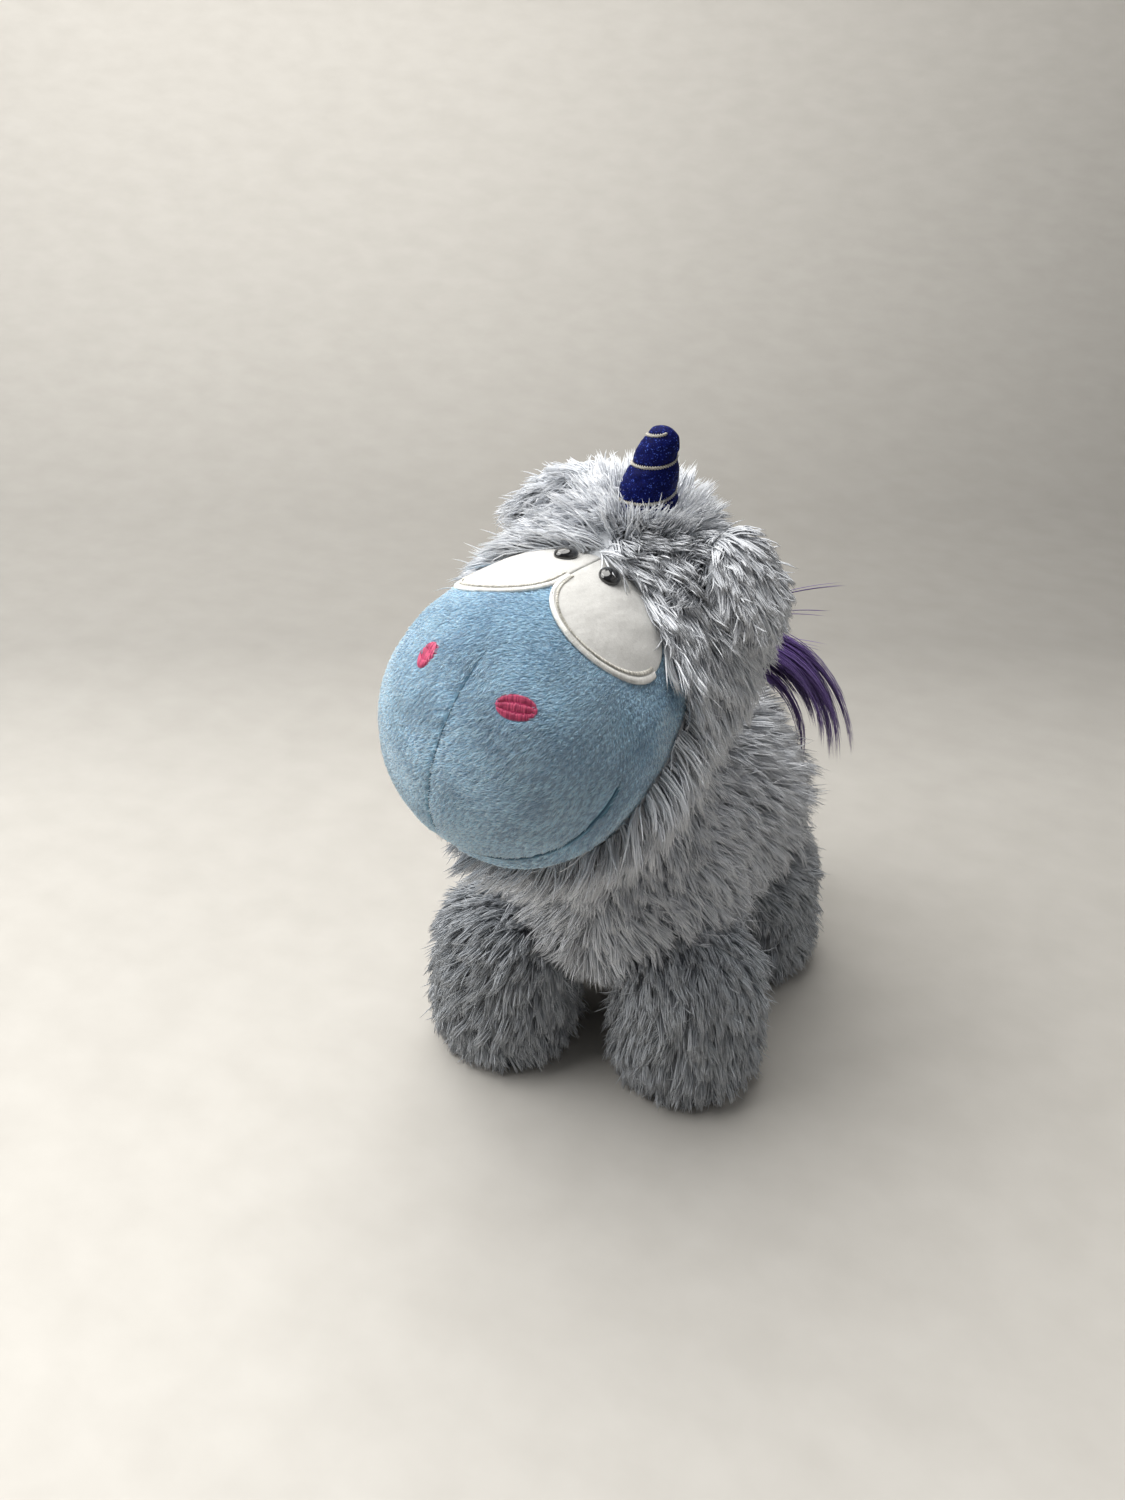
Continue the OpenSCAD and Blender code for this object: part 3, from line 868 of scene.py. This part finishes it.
def seam_shadow_line(name, points, radius):
    """A dark line of painted shadow that lies in a seam's groove, just under the face's surface."""
    for _ in range(3):
        points = points - (face_form(points) + 0.25)[:, None] * gradient(face_form, points)
    along = unit(np.gradient(points, axis=0))
    normals = gradient(face_form, points)
    line = tube(points, normals, np.cross(along, normals), radius)
    obj = mesh_object(name, from_head(line), grid_quads(len(points), TUBE_SIDES, True))
    dress(obj, SEAM, "head")


def make_seam_shadow_lines():
    # Dark lines of painted shadow along the middle seam of the muzzle and round the chin seam.
    polar = CHIN_ANGLE * (1 - np.linspace(0, 1, 260))[::-1]
    up, down = (face_panel(polar, np.array([way])) for way in (0.0, math.pi))
    middle = np.concatenate([up[::-1], down])
    middle = middle[middle[:, 2] < 33]
    fade = ease(-middle[:, 2], -33, -12)
    seam_shadow_line("muzzle_seam_shadow_line", middle, 0.05 + 0.2 * fade)
    turn = np.linspace(math.radians(62), math.radians(298), 420)
    rim = face_panel(np.array([CHIN_ANGLE]), turn)
    ends = 1 - ease(rim[:, 2], -10, 3)
    seam_shadow_line("chin_seam_shadow_line", rim, 0.06 + 0.36 * ends)


def nostril_frame(side):
    """The middle of a nostril, the ways across and up it, and its half sizes."""
    out, flat = side * NOSTRIL_OUT, math.cos(NOSTRIL_RISE)
    direction = np.array([math.sin(out) * flat, -math.cos(out) * flat, math.sin(NOSTRIL_RISE)])
    centre = face_surface(direction[None])[0]
    n = gradient(face_form, centre[None])[0]
    wide = unit(np.cross(n, UP))
    tall = np.cross(wide, n)
    return centre, wide, tall * np.sign(tall[2]), NOSTRIL_HALF[side]


def nostril_reach(side, p):
    """1 on the rim of a nostril, less inside it."""
    centre, wide, tall, (half_w, half_h) = nostril_frame(side)
    d = p - centre
    return np.hypot(d @ wide / half_w, d @ tall / half_h) + (np.linalg.norm(d, axis=-1) > 12) * 9


def on_face(xy, above=0.0):
    """The point of the face straight over a place in plan, and the outward normal there."""
    xy = np.asarray(xy, float)
    low, high = np.full(xy.shape[:-1], 5.0), np.full(xy.shape[:-1], 60.0)
    for _ in range(24):
        mid = (low + high) / 2
        inside = face_form(np.concatenate([xy, mid[..., None]], -1)) < 0
        low, high = np.where(inside, mid, low), np.where(inside, high, mid)
    p = np.concatenate([xy, low[..., None]], -1)
    n = gradient(face_form, p)
    return p + n * above, n


def ringed(name, rows, facing):
    """A piece of the head, from rings of points one inside another."""
    quads = grid_quads(len(rows), len(rows[0]), True)[:, ::facing]
    return mesh_object(name, from_head(np.concatenate(rows)), quads)


def patch_edge(side, angle, wider=0.0):
    """The outline of an eye patch in plan: a circle, and behind it a strip that runs up under the fringe."""
    c, s = np.cos(angle), np.sin(angle)
    across = np.where(c > 0, STRIP_OUT / np.maximum(c, 1e-3), STRIP_IN / np.maximum(-c, 1e-3))
    strip = np.minimum(STRIP_BACK / np.maximum(s, 1e-3), across)
    r = np.where(s > 0, np.maximum(PATCH_R, strip), PATCH_R) + wider
    return np.stack([side * (PATCH_POS[0] + r * c), PATCH_POS[1] + r * s], -1)


def make_patch(side, name):
    angle = full_turn(200)
    levels = np.concatenate([np.linspace(0.0005, 0.97, 26), [0.985, 0.995, 1.0, 1.0]])
    heights = np.concatenate([np.full(26, 1.0), [0.95, 0.75, 0.35, -0.5]])
    edge = patch_edge(side, angle)
    centre = np.array([side * PATCH_POS[0], PATCH_POS[1]])
    rows = []
    for level, height in zip(levels, heights):
        p, n = on_face(centre + (edge - centre) * level)
        rows.append(p + n * height + n * 0.12 * waves(p, 9, 41)[:, None])
    obj = ringed("felt_patch_" + name, rows, side)
    dress(obj, FELT, "head", ["eye_patch_" + name])


def make_bead(side, name):
    """A black bead eye, flatter than a ball, set in the felt."""
    middle, n = (x[0] for x in on_face(np.array([[side * PUPIL_POS[0], PUPIL_POS[1]]]), 1.5))
    across = unit(np.cross(UP, n))
    t, a = np.meshgrid(np.linspace(0.01, math.pi - 0.01, 24), full_turn(48), indexing="ij")
    quads = grid_quads(*t.shape, True)
    t, a = t[..., None], a[..., None]
    round_n = np.cos(a) * across * BEAD_HALF_W + np.sin(a) * np.cross(n, across) * BEAD_HALF_H
    points = middle + (np.cos(t) * n * BEAD_HALF_T + np.sin(t) * round_n).reshape(-1, 3)
    dress(mesh_object("bead_" + name, from_head(points), quads), BEAD, "head", ["pupil_" + name])


def threads(name, starts, ends, normals, thick, bow, material, rng, stands_for=()):
    """Embroidery on the head: short fine threads from each start to each end, bowed outwards."""
    starts, ends, normals = from_head(starts), from_head(ends), normals @ HEAD_TURN.T
    s = np.linspace(0, 1, 7)[None, :, None]
    arch = (1 - (2 * s - 1) ** 4) * bow
    points = starts[:, None] * (1 - s) + ends[:, None] * s + normals[:, None] * arch
    tone = rng.uniform(0.2, 0.8, len(points))
    obj = strand_object(name, points, np.full(points.shape[:2], thick), tone)
    dress(obj, material, "head", stands_for)


def make_trim(side, name):
    """A white satin ridge round the front of the patch, and a narrower silver line inside it."""
    rng = np.random.default_rng(51 + side)
    fine = np.linspace(math.radians(171), math.radians(366), 1200)
    path, _ = on_face(patch_edge(side, fine))
    run = run_of(path)

    def row(spacing, inset, width, lean):
        marks = np.arange(0.2, run[-1], spacing)
        angle = np.interp(marks, run, fine)
        inner, n1 = on_face(patch_edge(side, angle + lean, -inset - width / 2))
        outer, n2 = on_face(patch_edge(side, angle, -inset + width / 2))
        shake = rng.normal(0, 0.04, (2, len(marks), 1))
        return inner + n1 * shake[0], outer + n2 * shake[1], unit(n1 + n2)

    a, b, n = row(0.3, -0.1, 1.7, 0.012)
    threads("satin_ridge_" + name, a + n * 0.35, b + n * 0.1, n, 0.24, 0.85, SATIN, rng,
            ["eye_trim_" + name])
    a, b, n = row(0.34, 1.25, 0.8, -0.02)
    lift = n * 1.05
    threads("silver_line_" + name, a + lift, b + lift, n, 0.16, 0.25, SILVER_THREAD, rng)


def make_nostril(side, name):
    rng = np.random.default_rng(61 + side)
    centre, wide, tall, (half_w, half_h) = nostril_frame(side)

    def place(u, v):
        """A place on the face, from sizes across and up the nostril."""
        p = centre + u[:, None] * wide + v[:, None] * tall
        for _ in range(3):
            p = p - face_form(p)[:, None] * gradient(face_form, p)
        return p

    starts, ends = [], []
    for u in np.arange(-half_w + 0.2, half_w, 0.31):
        reach = half_h * math.sqrt(1 - (u / half_w) ** 2)
        cuts = [-reach, reach]
        if reach > 1.6:
            cuts[1:1] = [v + rng.normal(0, 0.12) for v in (-reach * 0.34, reach * 0.34)]
        for low, high in zip(cuts[:-1], cuts[1:]):
            starts.append([u + rng.normal(0, 0.03), low])
            ends.append([u + (0.22 if side > 0 else 1.0) + rng.normal(0, 0.03), high])
    a, b = place(*np.array(starts).T), place(*np.array(ends).T)
    normals = gradient(face_form, (a + b) / 2)
    threads("nostril_threads_" + name, a + normals * 0.1, b + normals * 0.1, normals, 0.17, 0.5, PINK,
            rng)
    ring = full_turn(60)
    rows = []
    for level, height in zip((0.0005, 0.35, 0.7, 0.92, 1.04), (0.42, 0.4, 0.36, 0.25, -0.4)):
        p = place(half_w * level * np.cos(ring), half_h * level * np.sin(ring))
        rows.append(p + gradient(face_form, p) * height)
    dress(ringed("nostril_pad_" + name, rows, -1), PINK_PAD, "head", ["nostril_" + name])


# ---- horn ----

HORN_TURNS = 2.56
CORD_LOW, CORD_HIGH, CORD_EASE = -0.7, 29.3, 0.8
CORD_START = math.radians(110)
CORD_GROOVE = 0.75
PLY_R = 0.32
PLY_OUT = 0.3
PLY_PITCH = 1.7
HORN_CAP = 3.8
HORN_TIP_R = 3.9


def horn_width(z):
    """The horn's radius at a height, without its rounded tip."""
    t = z / HORN_H
    return HORN_R + (HORN_TIP_R - HORN_R) * (0.6 * t * t + 0.4 * t)


def horn_cap(z):
    """What the rounding of the tip leaves of the horn's width."""
    return np.sqrt(1 - np.clip((z - (HORN_H - HORN_CAP)) / HORN_CAP, 0, 1) ** 2.6)


def horn_bend(points):
    """The stuffed horn leans over a little towards its tip, and is flattened there."""
    t = np.clip(points[..., 2:3] / HORN_H, 0, 1)
    lean = np.concatenate([2.0 * t**2, 0 * t, 0 * t], -1)
    flat = np.concatenate([1 + 0 * t, 1 - 0.22 * t, 1 + 0 * t], -1)
    return points * flat + lean


def on_horn(points):
    """Points of the upright horn in their place on the head."""
    axes = HEAD_TURN @ np.array(Matrix.Rotation(math.radians(-1), 3, "Y"))
    return horn_bend(points) @ axes.T + from_head(HORN_FOOT + [0, 0, 0.3])


def cord_turn(z):
    """How far the cord has gone round, in turns, at a height on the horn."""
    way = np.maximum(z - CORD_LOW, 0) / (CORD_HIGH - CORD_LOW)
    return HORN_TURNS * way ** (1 / CORD_EASE) + CORD_START / (2 * math.pi)


def make_horn():
    """Glitter cloth that swells between the turns of the cord, over a core of wadding."""
    zz, aa = np.meshgrid(np.linspace(-1.0, HORN_H, 90), full_turn(96), indexing="ij")
    quads = grid_quads(*zz.shape, True)
    puff = np.abs(np.sin(math.pi * (cord_turn(zz) - aa / (2 * math.pi)))) ** 0.55
    wide = (horn_width(zz) - CORD_GROOVE + 1.2 * puff) * np.maximum(horn_cap(zz), 0.004)
    points = round_z(wide, aa, zz).reshape(-1, 3)
    wrinkle = waves(points * [1, 1, 1.8], 5.0, 71, 2) * 0.22
    points = points + wrinkle[:, None] * unit(points * [1, 1, 0])
    cloth = mesh_object("horn_cloth_piece", on_horn(points), quads)
    dress(cloth, GLITTER, "horn", ["horn_cover"])
    inner = round_z(wide * 0.78, aa, np.minimum(zz, HORN_H - 2.0)).reshape(-1, 3)
    core = mesh_object("horn_wadding", on_horn(inner), quads)
    dress(core, FILLING, "horn", ["horn_stuffing"])


def make_horn_cord():
    """Two plies twisted into a silver cord, which winds up the horn."""
    t = np.linspace(0, 1, 420)
    height = CORD_LOW + (CORD_HIGH - CORD_LOW) * t**CORD_EASE
    out = (horn_width(height) - CORD_GROOVE) * horn_cap(height) + 0.5
    middle = round_z(out, 2 * math.pi * cord_turn(height), height)
    radial = unit(middle * [1, 1, 0])
    binormal = np.cross(unit(np.gradient(middle, axis=0)), radial)
    plies = []
    for ply in range(2):
        twist = (run_of(middle) * 2 * math.pi / PLY_PITCH + math.pi * ply)[:, None]
        core = middle + PLY_OUT * (np.cos(twist) * radial + np.sin(twist) * binormal)
        plies.append(tube(core, radial, binormal, PLY_R))
    quads = grid_quads(len(t), TUBE_SIDES, True)
    obj = mesh_object("silver_twist", on_horn(np.concatenate(plies)),
                      np.concatenate([quads, quads + len(plies[0])]))
    dress(obj, SILVER, "horn", ["horn_cord"])


# ---- tail ----

TAIL_RISE = math.radians(62)


def tail_path(t):
    """The middle of the tail: out of the rump, over, and down on its left side."""
    start = RUMP + (RUMP_R + 2) * np.array([0, math.cos(TAIL_RISE), math.sin(TAIL_RISE)])
    bends = [CHEST * [1, 1, 0] + p for p in ([18, 70, 148], [57, 76, 137], [63, 74, 90])]
    t = t[..., None]
    u = 1 - t
    return u**3 * start + 3 * t * u**2 * bends[0] + 3 * t * t * u * bends[1] + t**3 * bends[2]


def tail_locks(t, rng, locks=34, hairs=44):
    """Hairs in locks, which spread and draw to their tips."""
    along = unit(np.gradient(tail_path(t), axis=0))
    across = unit(np.cross(along, UP))
    over = np.cross(across, along)
    reach = rng.uniform(0.62, 1.04, locks)
    lock_off = rng.normal(0, 1, (locks, 2)) * [1.0, 0.8]
    paths = []
    for lock in range(locks):
        s = t * reach[lock]
        centre = tail_path(s)
        spread = 2.2 + 8.5 * s**0.9
        wander = lock_off[lock] * spread[:, None] * 0.8
        sway = 1.2 * np.sin(3.2 * s + lock) * s
        for _ in range(hairs):
            off = wander + rng.normal(0, 1, 2) * (2.4 * (1 - (s / reach[lock]) ** 0.8 * 0.86))[:, None]
            fly = rng.normal(0, 1.2, 3) * (s**2)[:, None]
            p = centre + (off[:, :1] + sway[:, None]) * across + off[:, 1:] * over + fly * 0.55
            cut = t * rng.uniform(0.8, 1.0)
            paths.append(np.stack([np.interp(cut, t, p[:, i]) for i in range(3)], 1))
    return paths


def tail_wisps(t, rng):
    """A few single hairs that stand out over the rump."""
    start = tail_path(np.array([0.1]))[0]
    way = np.array([0.93, 0.3, 0.1])
    paths = []
    for rise, far, sink in ((30.0, 62.0, 0.0), (24.0, 54.0, 6.0), (14.0, 56.0, 12.0), (10.0, 46.0, 14.0)):
        arch = UP * (rise * (1 - (1 - t) ** 2.4) - sink * t**2)[:, None]
        for _ in range(3):
            sway = rng.normal(0, 1.0, 3) * (t**1.5)[:, None]
            paths.append(start + arch + way * (far * t**1.2)[:, None] + sway)
    return paths


def make_tail():
    """The hair of the tail, which never reaches below the floor."""
    rng = np.random.default_rng(81)
    t = np.linspace(0, 1, 18)
    points = np.array(tail_locks(t, rng) + tail_wisps(t, rng))
    points[..., 2] = np.maximum(points[..., 2], 1.0)
    thick = 0.3 * (1 - t) ** 0.45 * rng.uniform(0.7, 1.2, (len(points), 1))
    tone = np.clip(rng.normal(0.5, 0.2, len(points)), 0.05, 0.93)
    dress(strand_object("tail_strands", points, thick, tone), TAIL, "tail", ["tail_hair"])


# ---- materials of the face and small parts ----


def minky_material():
    """The cloth under the short pile, with streaks of brushed nap."""
    t = Tree("light_blue_plush", Roughness=0.72, Sheen_Weight=0.55, Sheen_Roughness=0.35,
             Sheen_Tint=(0.75, 0.88, 1.0, 1), Specular_IOR_Level=0.25)
    base = t.add("TexCoord").outputs["Object"]
    drift = t.add("TexNoise", {"Vector": base, "Scale": 26.0, "Detail": 1.0}).outputs["Color"]
    bent = t.add("MixRGB", {"Fac": 0.012, "Color1": base, "Color2": drift}, blend_type="ADD").outputs[0]
    nap = t.place((1, 1, 0.42), (0.35, 0.5, 0.2), bent)
    fine = t.noise(1500.0, nap, 3, 0.6, 0.3)
    tufts = t.noise(430.0, nap, 3, 0.6, 0.8)
    brushed = t.noise(60.0, base, 3, 0.5, 0.4)
    both = t.math("ADD", t.math("MULTIPLY", fine, 0.45), t.math("MULTIPLY", tufts, 0.55))
    colour = t.ramp(both, (0.36, (0.17, 0.34, 0.48)), (0.5, (0.26, 0.48, 0.63)), (0.64, (0.36, 0.6, 0.74)))
    t.colour(t.times(colour, t.greys(brushed, (0.35, 0.84), (0.65, 1.1))))
    t.bump(both, 0.55, 0.0009)
    return t.material


def felt_material():
    t = Tree("white_felt", Roughness=0.85, Sheen_Weight=0.3, Specular_IOR_Level=0.2)
    fibres = t.noise(900.0, t.place(), 4, 0.7, 1.5)
    cloud = t.noise(120.0, detail=2)
    both = t.math("ADD", t.math("MULTIPLY", fibres, 0.6), t.math("MULTIPLY", cloud, 0.4))
    t.colour(t.ramp(both, (0.35, (0.53, 0.525, 0.508)), (0.65, (0.66, 0.655, 0.637))))
    t.bump(fibres, 0.35, 0.0004)
    return t.material


def thread_material(name, low, high, metallic=0.0, roughness=0.35):
    t = Tree(name, Roughness=roughness, Metallic=metallic, Sheen_Weight=0.2)
    t.colour(t.ramp(t.strand_place()["X"], (0.2, low), (0.8, high)))
    return t.material


def plain_material(name, colour, roughness=0.6, metallic=0.0, coat=0.0, grain=0.0, scale=300.0):
    t = Tree(name, Roughness=roughness, Metallic=metallic, Coat_Weight=coat)
    fine = t.noise(scale, detail=3)
    low = tuple(c * (1 - grain) for c in colour)
    high = tuple(min(1.0, c * (1 + grain)) for c in colour)
    t.colour(t.ramp(fine, (0.35, low), (0.65, high)))
    if grain:
        t.bump(fine, 0.4, 0.0006)
    return t.material


def glitter_material():
    """Navy cloth with fine flecks of glitter, whose glints are painted in as bright colour."""
    t = Tree("glitter_cloth", Roughness=0.6, Specular_IOR_Level=0.08)
    cells = t.add("TexVoronoi", {"Vector": t.place(), "Scale": 3200.0}, feature="F1").outputs["Color"]
    spark = t.add("SeparateXYZ", {"Vector": cells}).outputs["X"]
    # The brightest cells are painted glints on the glitter flecks.
    flecks_and_glints = t.ramp(spark, (0.0, (0.001, 0.002, 0.035)), (0.6, (0.002, 0.005, 0.08)),
                    (0.93, (0.004, 0.01, 0.13)), (1.0, (0.08, 0.14, 0.6)))
    t.colour(t.times(flecks_and_glints, t.greys(t.noise(150.0, detail=3), (0.3, 0.6), (0.7, 1.2))))
    t.bump(spark, 0.35, 0.0002)
    return t.material


MINKY = minky_material()
# The pile hairs' colour runs from dark to light with each hair's tone, which holds the nap streaks and a
# painted light.
PILE = strand_material("plush_pile", (0.3, 0.495, 0.67), (0.46, 0.7, 0.91), (0.65, 0.85, 0.99),
                       (0.64, 0.67, 0.72), (1.24, 1.19, 1.12), 0.8, 0.8, 0.1)
FELT = felt_material()
SATIN = thread_material("white_satin", (0.82, 0.81, 0.78), (0.96, 0.955, 0.93))
SILVER_THREAD = thread_material("silver_thread", (0.48, 0.46, 0.41), (0.9, 0.88, 0.81), 0.15, 0.35)
PINK = thread_material("pink_satin", (0.36, 0.02, 0.09), (0.72, 0.09, 0.21))
PINK_PAD = plain_material("pink_backing", (0.45, 0.03, 0.12), 0.6)
SILVER = plain_material("silver_lurex", (0.5, 0.48, 0.43), 0.4, 0.6, grain=0.35, scale=1400.0)
GLITTER = glitter_material()
# Painted shadow: a dark line laid in the seams' grooves.
SEAM = plain_material("seam_shadow", (0.08, 0.16, 0.23), 0.9)
BEAD = plain_material("black_bead", (0.006, 0.006, 0.007), 0.07, coat=1.0)
TAIL = strand_material("violet_hair", (0.035, 0.018, 0.085), (0.09, 0.05, 0.2), (0.17, 0.11, 0.34),
                       (0.6, 0.6, 0.65), (1.35, 1.3, 1.3), 0.42, 0.1, 0.3)
FILLING = plain_material("polyester_wadding", (0.78, 0.77, 0.74), 0.9, grain=0.1)
BAG = plain_material("pellet_bag_cloth", (0.6, 0.58, 0.52), 0.85, grain=0.15, scale=900.0)
WASHER = plain_material("clear_washer_plastic", (0.55, 0.55, 0.55), 0.4, grain=0.02)


def dress_cad():
    """Finishes of the CAD pieces that are shown as they are."""
    rules = (("stuffing", FILLING, "polyester_fill"), ("pellet_bag", BAG, "pellet_bag_cloth"),
             ("washer", WASHER, "washer_plastic"), ("pupil", BEAD, "bead"), ("sole", UNDERCOAT, "sole_fur"),
             ("tail_root", UNDERCOAT, "body_fur"))
    for name, obj in frame["nodes"].items():
        for word, material, slot_name in rules:
            if word in name and not obj.hide_render:
                obj.data.materials.clear()
                obj.data.materials.append(material)


# ---- scene: floor, light and camera ----

NEAR_WALL = 900.0
FAR_WALL = 3200.0
WALL_H = 2600.0
LIGHTS_AIM = Vector((0, 0, 110))
CAMERA_SIDE = math.radians(20)
CAMERA_DOWN = math.radians(35)
CAMERA_POS = Vector((103.1, -345.9, 382.0))
LENS = 29.1


def paper_material():
    """Pale paper, with painted light and shade: lighter and darker in depth and from side to side, as under
    uneven light.
    """
    t = Tree("paper", Roughness=0.85, Specular_IOR_Level=0.2)
    fine = t.noise(260.0, detail=4)
    paper = t.ramp(fine, (0.3, (0.505, 0.487, 0.456)), (0.7, (0.54, 0.522, 0.491)))
    place = t.add("SeparateXYZ", {"Vector": t.place(turn=(0, 0, -CAMERA_SIDE))}).outputs
    depth = t.math("ADD", place["Y"], place["Z"])
    depth = t.math("MULTIPLY", t.math("ADD", depth, 0.2), 1 / 1.35)
    across = t.math("MULTIPLY", t.math("ADD", place["X"], 1.0), 0.5)
    # Painted light and shade: lighter on the near floor and high on the wall, a dark band where the floor
    # bends up, lighter to the left and darker to the right.
    painted_shade_in_depth = t.greys(depth, (0.0, 1.12), (0.13, 0.96), (0.25, 0.82), (0.37, 0.56), (0.52, 0.56),
                       (1.0, 0.98))
    painted_shade_sideways = t.greys(across, (0.05, 1.13), (0.45, 1.01), (0.56, 0.94), (0.8, 0.79))
    t.colour(t.times(paper, t.times(painted_shade_in_depth, painted_shade_sideways)))
    t.bump(fine, 0.08, 0.001)
    return t.material


def make_backdrop():
    """A pale seamless room: a flat floor that curves up into a wall close behind and far walls all round."""
    aim = full_turn(120)
    near = np.maximum(np.cos(aim), 0.0) / NEAR_WALL
    wall = (near**8 + (1 / FAR_WALL) ** 8) ** (-1 / 8)
    bend = 500 + 0.25 * (wall - NEAR_WALL)
    rings = [(f * (wall - bend), 0 * wall) for f in (0.0, 0.5, 1.0)]
    for i in range(1, 13):
        a = i * math.pi / 24
        rings.append((wall - bend + bend * math.sin(a), bend * (1 - math.cos(a))))
    rings.append((wall, 0 * wall + WALL_H))
    points = np.stack([np.stack([-r * np.sin(aim), r * np.cos(aim), z], 1) for r, z in rings])
    turn = np.array(Matrix.Rotation(CAMERA_SIDE, 3, "Z"))
    sweep = mesh_object("backdrop", points.reshape(-1, 3) @ turn.T, grid_quads(len(rings), len(aim), True))
    sweep.data.materials.append(paper_material())


def area_light(name, place, size, power, colour):
    data = bpy.data.lights.new(name, "AREA")
    data.shape = "DISK"
    data.size = size * MM
    data.energy = power
    data.color = colour
    light = bpy.data.objects.new(name, data)
    light.location = Vector(place) * MM
    light.rotation_euler = (LIGHTS_AIM - Vector(place)).to_track_quat("-Z", "Y").to_euler()
    bpy.context.scene.collection.objects.link(light)


def make_camera():
    data = bpy.data.cameras.new("camera")
    data.lens = LENS
    data.sensor_width = 36
    data.clip_start = 0.01
    camera = bpy.data.objects.new("camera", data)
    camera.location = CAMERA_POS * MM
    camera.rotation_euler = (math.pi / 2 - CAMERA_DOWN, 0, CAMERA_SIDE)
    bpy.context.scene.collection.objects.link(camera)
    bpy.context.scene.camera = camera


def make_lights():
    area_light("window", (-330, 260, 1150), 1300, 20, (1.0, 0.985, 0.95))
    area_light("side", (-760, -260, 820), 900, 8.6, (1.0, 0.99, 0.97))
    area_light("fill", (950, -60, 620), 1300, 1.6, (1.0, 0.99, 0.98))
    world = bpy.data.worlds.new("room")
    world.use_nodes = True
    sky = world.node_tree.nodes["Background"].inputs
    sky["Color"].default_value = (0.96, 0.97, 1.0, 1)
    sky["Strength"].default_value = 0.19
    bpy.context.scene.world = world
    bpy.context.scene.view_settings.view_transform = "Standard"


make_camera()
make_lights()
make_backdrop()
make_torso()
make_neck()
make_head()
for number, leg_name in enumerate(LEGS):
    make_leg(leg_name, 21 + number)
make_ear(1, 31)
make_ear(-1, 32)
make_face()
make_pile()
make_seam_shadow_lines()
for one_side, side_name in ((1, "left"), (-1, "right")):
    make_patch(one_side, side_name)
    make_bead(one_side, side_name)
    make_trim(one_side, side_name)
    make_nostril(one_side, side_name)
make_horn()
make_horn_cord()
make_tail()
dress_cad()
